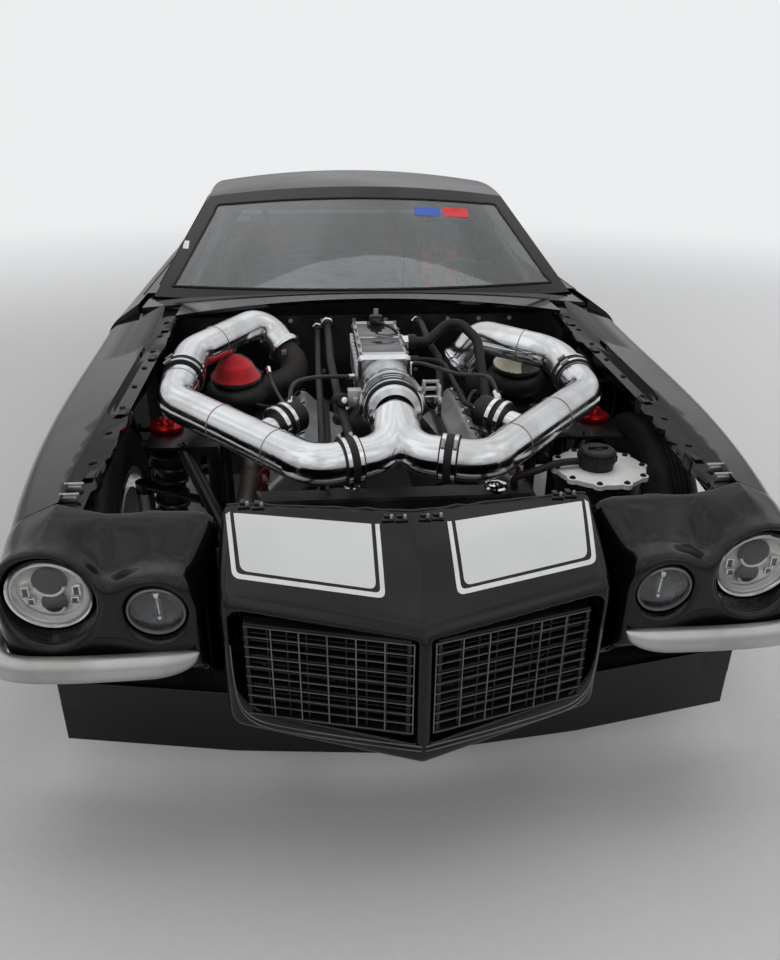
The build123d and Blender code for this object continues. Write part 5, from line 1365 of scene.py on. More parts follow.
@dataclass
class EngineBay:
    """Small parts of the engine: clamps, fittings, leads, springs, fins and bolts."""

    throttle: tuple[float, float] = (738.0, 800.0)
    plenum: tuple[float, float, float, float, float] = (-80.0, 60.0, 850.0, 1225.0, 895.0)
    sleeve_r: float = 57.0
    sleeve_long: float = 46.0
    crank_z: float = 350.0
    front_s: float = 690.0
    routes: tuple[tuple[int, tuple[Point, ...]], ...] = (
        (-1, ((0, 738, 800), (0, 695, 800), (-22, 560, 737), (-205, 508, 731), (-575, 885, 770),
              (-556, 1175, 818), (-362, 1472, 842), (-292, 1402, 764))),
        (1, ((0, 738, 800), (0, 695, 800), (22, 560, 737), (205, 508, 731), (562, 880, 768),
             (540, 1135, 808), (330, 1276, 832), (268, 1292, 742))),
    )

    def on_bank(self, side: int, across: float, s: float, up: float) -> Vector:
        """Point on one cylinder bank, from its own across and up distances in millimetres."""
        turn = math.radians(45) * side
        x = across * math.cos(turn) + up * math.sin(turn)
        z = up * math.cos(turn) - across * math.sin(turn)
        return place(x, s, self.crank_z + z)

    def bank_line(self, side: int, s: float, points: Iterable[Point]) -> list[Vector]:
        """Points on one bank, from distances outwards, behind a station, and up."""
        return [self.on_bank(side, side * out, s + behind, up) for out, behind, up in points]

    @staticmethod
    def leg(route: Sequence[Point], start: int, end: int) -> tuple[Vector, Vector]:
        """Start and unit direction of a straight leg between two points of a route."""
        a, b = place(*route[start]), place(*route[end])
        return a, (b - a).normalized()

    def clamps(self, shop: Workshop) -> None:
        """Bright bands with screw housings on every pipe coupling."""
        spots, screws = [], shop.draft("clamp_screws")
        for _, route in self.routes:
            for start, end, gap in ((2, 3, 78), (5, 4, 118)):
                a, way = self.leg(route, start, end)
                up = (UP - way * way.z).normalized()
                cross = way.cross(up)
                for off in (-14.5, 14.5):
                    middle = a + way * (gap + self.sleeve_long / 2 + off) * MM
                    spots.append((middle, way))
                    seat = middle + (up * 0.8 + cross * 0.6) * (self.sleeve_r + 5) * MM
                    screws.lathe([(0, -12), (4.5, -12), (4.5, 12), (0, 12)], seat, cross * 0.8 - up * 0.6,
                                 "bare_steel", 12)
        shop.band("coupling_bands", spots, "chrome", (self.sleeve_r + 1.2, 9.5, 1.8), "bare_steel")
        screws.done("bare_steel")

    def joints(self, shop: Workshop) -> None:
        """V-band flanges at the pipe ends and weld beads at the bends."""
        draft = shop.draft("pipe_flanges")
        for _, route in self.routes:
            a, way = self.leg(route, -1, -2)
            draft.lathe([(51.2, -4), (58, -4), (60.5, 2), (60.5, 10), (58, 16), (51.2, 16)], a, way,
                        "polished_aluminium", 56, True)
            draft.chip(a, (-8, -66, -3), (8, -56, 15), "bare_steel")
            for start, gap in ((3, 128), (3, 330), (4, 96), (5, 110)):
                a, way = self.leg(route, start, start + 1)
                draft.lathe([(50.6, -2.2), (51.8, -1.5), (52.1, 0), (51.8, 1.5), (50.6, 2.2)],
                            a + way * gap * MM, way, "bare_steel", 56, True)
        draft.done("polished_aluminium")

    def intake(self, shop: Workshop) -> None:
        """Plenum top panels, side ribs, sensor bracket and throttle bolts."""
        x0, x1, s0, s1, top = self.plenum
        draft = shop.draft("plenum_details")
        long = (s1 - s0 - 84) / 2
        for s in (s0 + 34, s0 + 50 + long):
            draft.box((x0 + 15.5, x1 - 15.5), (s + 1.5, s + long - 1.5),
                      (top - 4.6, top - 1.6), "gloss_insert", 0.002)
        for k in range(9):
            s = s0 + 26 + k * 40
            for x, out in ((x0, -1), (x1, 1)):
                draft.box((x - 0.5 * out, x + 6 * out), (s - 4, s + 4), (772, 866), "polished_aluminium")
        draft.box((-34, 20), (1168, 1214), (top - 1, top + 3), "black_plastic")
        draft.box((-26, 12), (1176, 1208), (top + 2, top + 26), "black_plastic", 0.004)
        draft.box((-20, 6), (1160, 1178), (top + 6, top + 20), "black_plastic", 0.003)
        draft.lathe([(0, 20), (7, 19), (8, 0), (0, 0)], place(-7, 1192, top + 26), UP, "bare_steel", 20)
        draft.tube(along([(-7, 1160, top + 12), (-4, 1120, top + 22), (40, 1085, top + 6), (76, 1080, 846),
                          (84, 1110, 800)]), 4, "hose_rubber", 10)
        draft.done("polished_aluminium")
        s, z = self.throttle
        bolts = [(place(x, y, top + 0.6), UP)
                 for x in (x0 + 8, x1 - 8) for y in (s0 + 22, s0 + 104, s0 + 188, s0 + 272, s1 - 18)]
        for c, d in around(8, 0.5):
            bolts += [(place(77 * c, s + 14.5, z + 77 * d), BACK),
                      (place(79 * c, s - 0.6, z + 79 * d), AHEAD)]
        shop.fasten("intake_bolts", bolts, "bare_steel", (3.4, 4, 6), "bare_steel")
        rings = [(place(0, s + off, z), BACK) for off in (40, 50)]
        shop.band("throttle_rings", rings, "chrome", (79.5, 6, 3), "polished_aluminium")

    def collar(self, shop: Workshop) -> None:
        """Adapter ring and rubber coupler in front of the throttle, its linkage and side fittings."""
        s, z = self.throttle
        draft = shop.draft("throttle_collar")
        draft.lathe([(50.6, 0), (56, 2), (66, 6), (68.5, 10), (68.5, 26), (66, 29), (66, 34), (50.6, 34)],
                    place(0, s - 76, z), BACK, "polished_aluminium", 64, True)
        draft.lathe([(50.6, 0), (68, 0), (73.5, 3), (73.5, 34), (70, 38.5), (50.6, 38.5)],
                    place(0, s - 40, z), BACK, "hose_rubber", 64, True)
        for x0, x1, y0, y1, z0, z1 in ((60, 132, 44, 52, 818, 828), (122, 132, 30, 60, 770, 834),
                                       (84, 92, 40, 56, 806, 846), (84, 128, 46, 52, 838, 846),
                                       (-112, -76, 30, 58, 782, 828), (-100, -84, 20, 66, 790, 812)):
            draft.box((x0, x1), (s + y0, s + y1), (z0, z1), "cast_aluminium", 0.003)
        for x, y, h, r in ((-128, 60, 792, 20), (-120, 92, 762, 24),
                           (-132, 26, 752, 16), (118, 96, 770, 20)):
            spot, way = place(x, s + y, h), (0.2, -1, 0.35)
            draft.lathe([(0, -30), (r, -30), (r, 10), (r * 0.8, 14), (r * 0.8, 30), (0, 32)], spot, way,
                        "black_plastic", 28)
            draft.lathe([(0, 30), (r * 0.4, 30), (r * 0.4, 40), (0, 42)], spot, way, "chrome", 16)
        draft.done("polished_aluminium")
        bands = [(place(0, s - off, z), BACK) for off in (31, 8)]
        shop.band("collar_bands", bands, "chrome", (74.5, 8, 2), "polished_aluminium")

    def ignition(self, shop: Workshop) -> None:
        """Coils on the covers, plug leads and cover bolts."""
        draft, bolts, half = shop.draft("ignition_leads"), [], Vector((0.02, 0.024, 0.012))
        for side in (-1, 1):
            turn = Matrix.Rotation(math.radians(45) * side, 4, "Y")
            for k in range(4):
                s = self.front_s + 97 + 122 * k
                coil = self.on_bank(side, side * -12, s - 26, 404)
                draft.block(coil - half, coil + half, "black_plastic", 0.004, turn)
                for points, radius, finish, sides in (
                        (((10, -26, 410), (62, -30, 428), (108, -26, 360), (122, -20, 270), (94, -18, 212)),
                         4.2, "lead_red", 10),
                        (((94, -18, 212), (104, -19, 226)), 9, "black_plastic", 12),
                        (((-26, -26, 406), (-60, 0, 424), (-76, 60, 400)), 3, "hose_rubber", 8)):
                    draft.tube(self.bank_line(side, s, points), radius, finish, sides)
            way = self.on_bank(side, 0, 0, 440) - self.on_bank(side, 0, 0, 400)
            for k in range(6):
                s = self.front_s + 34 + 98.4 * k
                bolts += [(self.on_bank(side, across, s, 398), way) for across in (-62, 62)]
        draft.done("black_plastic")
        shop.fasten("cover_bolts", bolts, "chrome", (4, 6, 6), "bare_steel")

    def plumbing(self, shop: Workshop) -> None:
        """Fittings on the bay hoses and thin lines to the valves and turbos."""
        draft = shop.draft("hose_fittings")
        for at, way, r in (((-182, 1553, 800), (-0.01, -1, -0.05), 12.5),
                           ((-148, 1553, 815), (0, -1, -0.035), 15.5),
                           ((-182, 598, 621), (0, 0, 1), 12.5), ((-112, 606, 621), (0, 0, 1), 15.5),
                           ((161, 1551, 812), (0, -1, 0.2), 14.5), ((60, 1185, 840), (1, 0, 0), 19),
                           ((60, 1110, 806), (1, 0, 0), 10.5)):
            spot = place(*at)
            draft.lathe([(0, -1), (r * 1.35, -1), (r * 1.35, 12), (r * 1.15, 14), (r * 1.15, 30),
                         (r * 0.9, 34), (0, 34)], spot, way, "chrome", 6)
            draft.lathe([(0, 30), (r * 1.2, 30), (r * 1.2, 50), (r, 56), (0, 56)], spot,
                        way, "black_plastic", 24)
        for line in (((-262, 752, 798), (-250, 800, 838), (-196, 880, 830),
                      (-120, 940, 812), (-82, 960, 806)),
                     ((284, 770, 798), (268, 830, 836), (196, 900, 826), (110, 1010, 824), (62, 1020, 820)),
                     ((-420, 1250, 640), (-330, 1190, 640), (-260, 1100, 700), (-240, 1000, 690)),
                     ((440, 1300, 640), (350, 1220, 650), (290, 1120, 700), (250, 1020, 690)),
                     ((-341, 1262, 742), (-328, 1204, 716), (-296, 1078, 700), (-262, 1010, 682))):
            points = along(line)
            draft.tube(points, 5.5, "braid", 12, 8)
            for a, b in ((points[0], points[1]), (points[-1], points[-2])):
                draft.lathe([(0, -2), (9, -2), (9, 10), (7.5, 12), (7.5, 24), (0, 24)], a, b - a, "chrome",
                            6)
        draft.done("hose_rubber")

    def valves(self, shop: Workshop) -> None:
        """Bands and bolts on both blow-off valves."""
        bolts, rings = [], []
        for side, route in self.routes:
            a, way = self.leg(route, 3, 4)
            out = Vector((-side * abs(way.y), abs(way.x), 0.12)).normalized()
            base = a + way * 0.215 + out * 0.0853
            rings += [(base + out * 0.030, out), (base + out * 0.002, out)]
            u, v, _ = frame_of(out)
            bolts += [(p, out) for p in circle(base + out * 0.0728, u, v, 37, 6)]
        shop.band("valve_bands", rings, "chrome", (47.2, 11, 3), "polished_aluminium")
        shop.fasten("valve_bolts", bolts, "bare_steel", (3, 4, 6), "bare_steel")

    def springs(self, shop: Workshop) -> None:
        """Coil springs of all dampers, red top caps in front and seats behind."""
        tops, seats = shop.draft("damper_tops"), shop.draft("rear_damper_seats")
        fronts, rears = [], []
        for side in (-1, 1):
            for ends, spots in ((((626, 958, 318), (617, 958, 640)), fronts),
                                (((509.5, 3770, 316), (497, 3780, 556)), rears)):
                foot, head = along((side * x, s, z) for x, s, z in ends)
                spots.append((foot, (head - foot).normalized()))
            spot = place(side * 616, 958, 663.5)
            tops.lathe([(0, 0), (45, 0), (47, 4), (47, 12), (43, 17), (24, 19), (22, 30), (18, 34), (0, 34)],
                       spot, UP, "red_anodised", 40)
            tops.lathe([(0, 30), (8, 30), (8, 52), (6, 54), (0, 54)], spot, UP, "chrome", 20)
        for foot, way in rears:
            seats.lathe([(0, 0), (44, 0), (44, 8), (0, 8)], foot, way, "bare_steel", 32)
        shop.repeat("coil", "damper_springs", fronts, "spring_paint", "chassis_paint",
                    radius=0.0445, wire=0.0062, height=0.318, turns=8.5)
        tops.done("chassis_paint")
        shop.repeat("coil", "rear_springs", rears, "spring_paint", "chassis_paint",
                    radius=0.036, wire=0.0055, height=0.236, turns=7.5)
        seats.done("bare_steel")

    def cooling(self, shop: Workshop) -> None:
        """Radiator fins, its cap and hose, and the tank's screws and cap."""
        for label, s in (("front", 564.8), ("rear", 613.2)):
            shop.repeat("bars", f"radiator_fins_{label}", [(place(-288, s, 472), UP)],
                        "fin_metal", "chassis_paint",
                        size=(0.0011, 0.0036, 0.27), count=97, step=(0.006, 0, 0))
        draft = shop.draft("cooling_parts")
        draft.lathe([(0, 0), (30, 0), (30, 8), (26, 12), (26, 18), (10, 22), (0, 22)],
                    place(250, 589, 620), UP, "chrome", 40)
        draft.tube(along([(300, 589, 618), (300, 589, 650), (360, 600, 664),
                          (420, 630, 668), (478, 640, 668)]), 9.5,
                   "hose_rubber", 14)
        for c, d in around(14):
            x, s = 523 + 48 * c, 640 + 48 * d
            draft.box((x - 3, x + 3), (s - 3, s + 3), (672, 689), "black_plastic", 0.0012)
        draft.lathe([(0, 0), (45.5, 0), (46.2, 4), (45.5, 24), (40, 30), (12, 31), (11, 34), (0, 34)],
                    place(523, 640, 671), UP, "black_plastic", 56)
        draft.box((497, 549), (637, 643), (702, 708), "black_plastic", 0.002)
        draft.done("black_plastic")
        lid, outline = shop.draft("tank_lid"), []
        lobes, at, reach, rim = 10, 112, 14.7, 116.7
        for k in range(240):
            a = 2 * math.pi * k / 240
            near = (a + math.pi / lobes) % (2 * math.pi / lobes) - math.pi / lobes
            edge = reach ** 2 - (at * math.sin(near)) ** 2
            r = max(rim, at * math.cos(near) + math.sqrt(edge)) if edge > 0 else rim
            outline.append(place(533 + r * math.cos(a), 640 + r * math.sin(a), 639.2))
        lid.slab(outline, UP * 0.0118, "white_enamel")
        lid.done("white_plastic")
        screws = [(place(533 + 113 * c, 640 + 113 * d, 652.2), UP) for c, d in around(lobes)]
        shop.fasten("tank_screws", screws, "black_plastic", (5.5, 4, 6), "black_plastic")

    def fixings(self, shop: Workshop) -> None:
        """Header flange bolts, pulley bolts and firewall bolts."""
        spots, wall = [], Surface("firewall")
        for side in (-1, 1):
            out, up = (Vector((side * 0.7071, 0, z)) for z in (-0.7071, 0.7071))
            for k in range(4):
                port = self.on_bank(side, side * 90.3, self.front_s + 75 + 125 * k, 268)
                spots += [(port + out * 0.0088 + (up + BACK) * off, out) for off in (-0.024, 0.024)]
        hub = place(0, self.front_s - 46.4, self.crank_z)
        spots += [(p, AHEAD) for p in circle(hub, Vector((1, 0, 0)), UP, 30, 8)]
        for x in range(-600, 600, 109):
            for z in (470, 640, 820):
                if abs(x) > 30 and (z < 800 or abs(x) < 560):
                    spots.append((wall.hit(place(x, 1400, z), BACK)[0], AHEAD))
        shop.fasten("bay_bolts", spots, "bare_steel", (5.2, 6, 6), "bare_steel")

    def build(self, shop: Workshop) -> None:
        """Everything in the bay."""
        for step in (self.clamps, self.joints, self.intake, self.collar, self.ignition,
                     self.plumbing, self.valves, self.springs, self.cooling, self.fixings):
            step(shop)


@dataclass
class BodyTrim:
    """Trim on the shell: glass surrounds, ledge fixings, handles, lamp rings and the blank films."""

    front_window: tuple[float, float, float, float, float] = (700, 892, 560, 1128, 1158)
    rear_window: tuple[float, float, float, float, float] = (610, 908, 500, 1122, 1142)
    ledge: tuple[tuple[float, float, float], ...] = ((340, 735, 742), (620, 722, 785), (958, 710, 815),
                                                     (1616, 700, 868))
    axle: tuple[float, float] = (3701.0, 370.0)
    liner: tuple[float, float] = (402.0, 604.0)
    screws: tuple[float, ...] = (400, 520, 660, 800, 940, 1080, 1220, 1360, 1490)

    def on_ledge(self, skin: Surface, side: int, s: float, inward: float) -> tuple[Vector, Vector]:
        """Point and normal on a fender's top at a station, so far inside its inner edge."""
        stations, widths, heights = zip(*self.ledge)
        x, z = (float(np.interp(s, stations, row)) for row in (widths, heights))
        return skin.hit(place(side * (x - inward), s, z + 40), DOWN)

    def ledges(self, shop: Workshop) -> None:
        """Tabs, hinge brackets and screws along both bay ledges and the nose's rear edge."""
        skin, nose = Surface("front_fender_left", "front_fender_right"), Surface("prow_skin")
        draft, screws = shop.draft("ledge_brackets"), []
        for side in (-1, 1):
            screws += [self.on_ledge(skin, side, s, 26) for s in self.screws]
            for s, long in ((470, 54), (772, 46), (1165, 46), (1420, 40)):
                point, _ = self.on_ledge(skin, side, s, 34)
                draft.chip(point, (-10, -long / 2, 0.2), (10, long / 2, 3.2), "chassis_paint")
                draft.chip(point, (-14 * side - 1.5, -long / 2.6, -34), (-14 * side + 1.5, long / 2.6, 3),
                           "chassis_paint")
            for s in (372, 410):
                point, _ = self.on_ledge(skin, side, s, 14)
                draft.chip(point, (-16, -9, 0), (16, 9, 12), "bare_steel")
                draft.lathe([(0, -20), (4, -20), (4, 20), (0, 20)], point + UP * 0.014,
                            (1, 0, 0), "bare_steel", 14)
            for x, s in ((352, 318), (322, 314), (52, 262), (24, 260)):
                point, _ = nose.hit(place(side * x, s, 900), DOWN)
                draft.chip(point, (-13, -6, -1), (13, 14, 3), "chassis_paint")
                draft.chip(point, (-9, 4, 2), (3, 22, 8), "chassis_paint")
                draft.lathe([(0, 0), (4.5, 0), (4.5, 8), (3, 10), (0, 10)],
                            point + Vector((7, 2, 2)) * MM, UP, "bare_steel", 6)
        shop.fasten("ledge_screws", screws, "black_plastic", (6, 4, 16), "body_paint")
        draft.done("chassis_paint")

    def films(self, shop: Workshop) -> None:
        """Plain blank colour films at the windshield's top."""
        glass, draft = Surface("windshield"), shop.draft("blank_films")
        for finish, x0, x1 in (("blue_film", 216, 318), ("red_film", 330, 432)):
            corners = along([(x0, 2060, 1166), (x1, 2064, 1162), (x1, 2026, 1128), (x0, 2020, 1132)])
            drape(draft, glass, corners, Vector((0, 0.9, -0.45)).normalized(), finish, (10, 5))
        draft.done("window_glass", fix=False)

    def surrounds(self, shop: Workshop) -> None:
        """Rubber strips round the glass, belt strips on the doors and the blank pillar film."""
        draft, shell = shop.draft("glass_surrounds"), Surface("roof_shell")
        for node, (low_x, low_z, high_x, high_z, crown), s, way in (
                ("windshield", self.front_window, 1200, BACK),
                ("rear_window", self.rear_window, 4600, AHEAD)):
            glass = Surface(node)
            outline = [(low_x * (k / 12 - 1), low_z) for k in range(25)]
            post = [(low_x + (high_x - low_x) * k / 10, low_z + (high_z - low_z) * k / 10)
                    for k in range(11)]
            outline += post[1:]
            outline += [(high_x * (1 - k / 10), crown - (crown - high_z) * (1 - k / 10) ** 2)
                        for k in range(1, 20)]
            outline += [(-x, z) for x, z in post[::-1]]
            points = [glass.hit(place(x * 0.995, s, z + (3 if z == low_z else -3)), way)[0]
                      for x, z in outline]
            draft.tube(points, 5.2, "hose_rubber", 10, 2)
        opening = ((1880, 884), (2030, 966), (2180, 1048), (2316, 1124), (2500, 1130),
                   (2740, 1134), (2962, 1137), (2984, 1010), (2994, 884))
        for _, side in SIDES:
            points = [shell.hit(place(side * 1100, s, z), Vector((-side, 0, 0)))[0] for s, z in opening]
            draft.tube(points, 3.5, "hose_rubber", 8, 3)
        corners = along((x, 1900, z) for x, z in ((-676, 1018), (-654, 1018), (-654, 996), (-676, 996)))
        drape(draft, shell, corners, BACK, "pinstripe", (6, 6))
        draft.done("hose_rubber")
        for label, side in SIDES:
            skin, belt = Surface(f"door_{label}"), shop.draft(f"belt_strip_{label}")
            inward = Vector((-side, 0, 0))
            points = [skin.hit(place(side * 1100, s, 856), inward)[0] for s in range(1840, 2960, 70)]
            belt.tube(points, 3, "hose_rubber", 8, 2)
            belt.done("body_paint", Body(f"door_{label}"))

    def wheelhouses(self, shop: Workshop) -> None:
        """Liners over the rear tyres, from the tubs to the quarter panels."""
        steps, (radius, inner), (axle_s, axle_z) = 60, self.liner, self.axle
        for label, side in SIDES:
            skin, verts = Surface(f"quarter_panel_{label}"), []
            for k in range(steps + 1):
                a = math.radians(-14 + 208 * k / steps)
                low, high = ((axle_s + r * math.cos(a), axle_z + r * math.sin(a))
                             for r in (radius, radius + 2))
                outer = skin.hit(place(side * 1100, *low), Vector((-side, 0, 0)))[0].x / MM - side * 7
                verts += along([(side * inner, *low), (outer, *low), (outer, *high), (side * inner, *high)])
            draft = shop.draft(f"wheelhouse_{label}")
            draft.add(verts, hoops(steps + 1, 4), "chassis_paint")
            draft.done("chassis_paint")

    def handles(self, shop: Workshop) -> None:
        """Door pulls and locks, one pair on each door."""
        for label, side in SIDES:
            skin, draft = Surface(f"door_{label}"), shop.draft(f"door_handle_{label}")
            inward = Vector((-side, 0, 0))
            grip = [(2770, 4), (2800, 16), (2840, 16), (2880, 16), (2910, 4)]
            hits = [(skin.hit(place(side * 1100, s, 735), inward), lift) for s, lift in grip]
            draft.tube([point + normal * lift * MM for (point, normal), lift in hits], 6.5, "chrome", 14)
            for s in (2772, 2908):
                point, normal = skin.hit(place(side * 1100, s, 735), inward)
                draft.lathe([(0, -2), (13, -2), (13, 3), (9, 7), (0, 7)], point, normal, "chrome", 24)
            point, normal = skin.hit(place(side * 1100, 2840, 668), inward)
            draft.lathe([(0, -2), (11, -2), (11, 2), (9, 4), (3, 4), (2, 2.5), (0, 2.5)],
                        point, normal, "chrome", 32)
            draft.done("body_paint", Body(f"door_{label}"))

    def tail(self, shop: Workshop) -> None:
        """Chrome and red rings on the tail lamps, tail panel bolts and the spoiler's screws."""
        rings = [(place(x, 4730, 660), BACK) for x in (-560, -390, 390, 560)]
        shop.band("tail_rings", rings, "chrome", (69.5, 6, 5), "red_lens")
        shop.band("lens_rings", rings, "lamp_red", (45, 4, 4), "red_lens")
        spots = [(place(x, 4725.8, z), BACK) for x in (-740, -250, 0, 250, 740) for z in (420, 780)]
        shop.fasten("tail_bolts", spots, "bare_steel", (5, 3, 16), "body_paint")
        lid = Surface("deck_lid")
        screws = [lid.hit(place(130 * k - 520, 4515, 1000), DOWN) for k in range(9)]
        shop.fasten("spoiler_screws", screws, "black_plastic", (5.5, 3, 16), "body_paint", Body.DECK_LID)

    def build(self, shop: Workshop) -> None:
        """All the trim."""
        for step in (self.ledges, self.films, self.surrounds, self.wheelhouses, self.handles, self.tail):
            step(shop)


def smooth_max(a: Field, b: Field, k: float) -> Field:
    """Larger of two distances, rounded over a width k where they cross."""
    h = np.clip(0.5 + 0.5 * (a - b) / k, 0.0, 1.0)
    return b * (1 - h) + a * h + k * h * (1 - h)


def eased(knots: Sequence[tuple[float, float]], values: Field, spread: float = 22.0) -> Field:
    """Read a smooth curve through knots: straight runs, averaged over a spread in millimetres."""
    xs = np.arange(knots[0][0] - 120, knots[-1][0] + 120, 2.0)
    ys = np.interp(xs, [k[0] for k in knots], [k[1] for k in knots])
    reach = int(spread)
    kernel = np.exp(-((np.arange(-reach, reach + 1) / (reach / 2.2)) ** 2))
    ys = np.convolve(np.pad(ys, reach, mode="edge"), kernel / kernel.sum(), mode="valid")
    return np.interp(values, xs, ys)


def surface_net(field: Field, corner: Point, cell: float) -> tuple[np.ndarray, np.ndarray]:
    """Mesh where a field of distances crosses zero.

    Args:
        field: Distances on a grid, negative inside.
        corner: Grid point (0, 0, 0) in millimetres.
        cell: Grid step in millimetres.
    Returns:
        Vertices in millimetres and quads that face outwards.
    """
    shape = tuple(n - 1 for n in field.shape)
    sums = np.zeros(shape + (3,), dtype=np.float32)
    hits = np.zeros(shape, dtype=np.float32)
    for axis in range(3):
        others = [a for a in range(3) if a != axis]
        for o0 in (0, 1):
            for o1 in (0, 1):
                pick, ahead = [slice(0, n) for n in shape], [slice(0, n) for n in shape]
                for other, o in zip(others, (o0, o1)):
                    pick[other] = ahead[other] = slice(o, shape[other] + o)
                ahead[axis] = slice(1, shape[axis] + 1)
                a, b = field[tuple(pick)], field[tuple(ahead)]
                cross = ((a < 0) != (b < 0)).astype(np.float32)
                share = a / np.where(np.abs(a - b) < 1e-9, 1.0, a - b)
                sums[..., axis] += cross * share
                sums[..., others[0]] += cross * o0
                sums[..., others[1]] += cross * o1
                hits += cross
    active = hits > 0
    index = np.full(shape, -1, dtype=np.int64)
    index[active] = np.arange(int(active.sum()))
    verts = np.asarray(corner) + (np.argwhere(active) + sums[active] / hits[active][:, None]) * cell
    inside = field < 0
    quads = []
    for axis in range(3):
        u, v = [(1, 2), (2, 0), (0, 1)][axis]
        low, high = [slice(1, n) for n in shape], [slice(1, n) for n in shape]
        low[axis], high[axis] = slice(0, shape[axis]), slice(1, shape[axis] + 1)
        a, b = inside[tuple(low)], inside[tuple(high)]
        for flip, change in ((False, a & ~b), (True, ~a & b)):
            spots = np.argwhere(change)
            spots[:, u] += 1
            spots[:, v] += 1
            ring = []
            for du, dv in ((-1, -1), (0, -1), (0, 0), (-1, 0)):
                at = spots.copy()
                at[:, u] += du
                at[:, v] += dv
                ring.append(index[at[:, 0], at[:, 1], at[:, 2]])
            quad = np.stack(ring[::-1] if flip else ring, axis=1)
            quads.append(quad[(quad >= 0).all(axis=1)])
    return verts, np.concatenate(quads)


@dataclass
class FrontSkin:
    """Prow and lamp pods as one flowing skin, with the fenders cut to meet it."""

    middle: tuple[Point, ...] = ((355, 757), (20, 583), (8, 318), (26, 276))
    outer: tuple[Point, ...] = ((335, 733), (124, 615), (142, 340), (160, 290))
    rear: tuple[float, float] = (284.0, 335.0)
    half: float = 402.0
    cell: float = 4.6
    join: float = 341.0
    head: tuple[float, float, float] = (740.0, 601.0, 88.6)
    park: tuple[float, float, float] = (525.0, 576.0, 60.4)
    face: tuple[Point, ...] = ((400, 160), (450, 150), (525, 148), (590, 158),
                               (650, 166), (740, 164), (800, 170), (846, 190), (874, 236), (905, 320))
    crest: tuple[Point, ...] = ((380, 470), (410, 560), (432, 620), (462, 652),
                                (500, 663), (540, 663), (580, 652),
                                (606, 640), (632, 644), (662, 680), (700, 708),
                                (745, 716), (790, 706), (826, 676), (850, 634), (862, 601), (880, 560))
    inner_top: tuple[Point, ...] = ((400, 706), (470, 716), (560, 718), (631, 712), (700, 730), (735, 742))

    def grid(self, low: Point, high: Point) -> list[Field]:
        """Grid coordinates between two corners."""
        axes = [np.arange(a, b + self.cell, self.cell, dtype=np.float32) for a, b in zip(low, high)]
        return np.meshgrid(*axes, indexing="ij")

    def prow(self) -> tuple[np.ndarray, np.ndarray]:
        """Wedge nose with both grille openings."""
        low = (-416.0, -4.0, 248.0)
        x, s, z = self.grid(low, (416.0, 366.0, 772.0))
        wide = np.abs(x)
        t = np.clip(wide / self.half, 0, 1)
        (s0, z0), (s1, z1), (s2, z2), (s3, z3) = [
            (a[0] * (1 - t) + b[0] * t, a[1] * (1 - t) + b[1] * t) for a, b in zip(self.middle, self.outer)]
        share = np.clip((s - s1) / (s0 - s1), 0, 1)
        top = (z - (z1 + (s - s1) * (z0 - z1) / (s0 - s1) + 9 * np.sin(share * math.pi))) * 0.88
        front = (s2 + (z - z2) * (s1 - s2) / (z1 - z2)) - s
        under = (z3 - (s - s3) * 0.09) - z
        field = smooth_max(top, front, 30)
        field = smooth_max(field, under, 26)
        field = smooth_max(field, wide - self.half, 34)
        field = np.maximum(field, s - (self.rear[0] * (1 - t) + self.rear[1] * t))
        lip, sill = z1 - 15, z2 + 9 + 60 * np.clip((wide - 300) / 90, 0, 1) ** 2
        hole = smooth_max(np.maximum(wide - 381, 15 - wide), np.maximum(z - lip, sill - z), 34)
        hole = np.where(wide < 200, np.maximum(15 - wide, np.maximum(z - lip, sill - z)), hole)
        hole = np.maximum(hole, s - (s2 + 150))
        return surface_net(smooth_max(field, -hole, 9), low, self.cell)

    def pods(self) -> tuple[np.ndarray, np.ndarray]:
        """Left lamp pods, from the gap beside the prow to the fender's side."""
        low = (404.0, 132.0, 294.0)
        x, s, z = self.grid(low, (906.0, 352.0, 766.0))
        hx, hz, hr = self.head
        px, pz, pr = self.park
        heights = np.arange(262.0, 742.0, 4.0)
        skin = Surface("front_fender_left")
        wall = [skin.hit(place(1100, self.join + 3, h), Vector((-1, 0, 0)))[0].x * 1000 for h in heights]
        heights, wall = np.append(heights, (744.0, 760.0)), np.append(wall, (728.0, 600.0))
        slope = np.gradient(wall, heights)
        rear_side = (x - np.interp(z, heights, wall)) / np.sqrt(1 + np.interp(z, heights, slope) ** 2)
        rear = smooth_max(rear_side, (z - np.where(x < 735, eased(self.inner_top, x), 800)) * 0.97, 6)
        front_side = x - 862 + 0.0009 * np.clip(hz - z, 0, None) ** 2
        front = smooth_max(front_side, (z - eased(self.crest, x, 16)) * 0.75, 24)
        ease = np.clip((s - 205) / (self.join - 206), 0, 1)
        ease = ease * ease * (3 - 2 * ease)
        field = front * (1 - ease) + rear * ease
        field = smooth_max(field, eased(self.face, x, 30) - s, 26)
        field = smooth_max(field, 411 + 22 * (1 - ease) - x, 40)
        field = smooth_max(field, ((432 - z) * 1.02 + 168 - s) * 0.7, 16)
        field = np.maximum(np.maximum(field, 300 - z), s - self.join)
        for cx, cz, r, deep, flare in ((hx, hz, hr, 92, 15.0), (px, pz, pr, 62, 3.0)):
            away = np.sqrt((x - cx) ** 2 + (z - cz) ** 2)
            rim = eased(self.face, np.full_like(x, cx), 30)
            cone = r + flare * np.clip(1 - (s - rim) / 44, 0, 1)
            field = smooth_max(field, -np.maximum(away - cone, s - rim - deep), 13)
        return surface_net(field, low, self.cell)

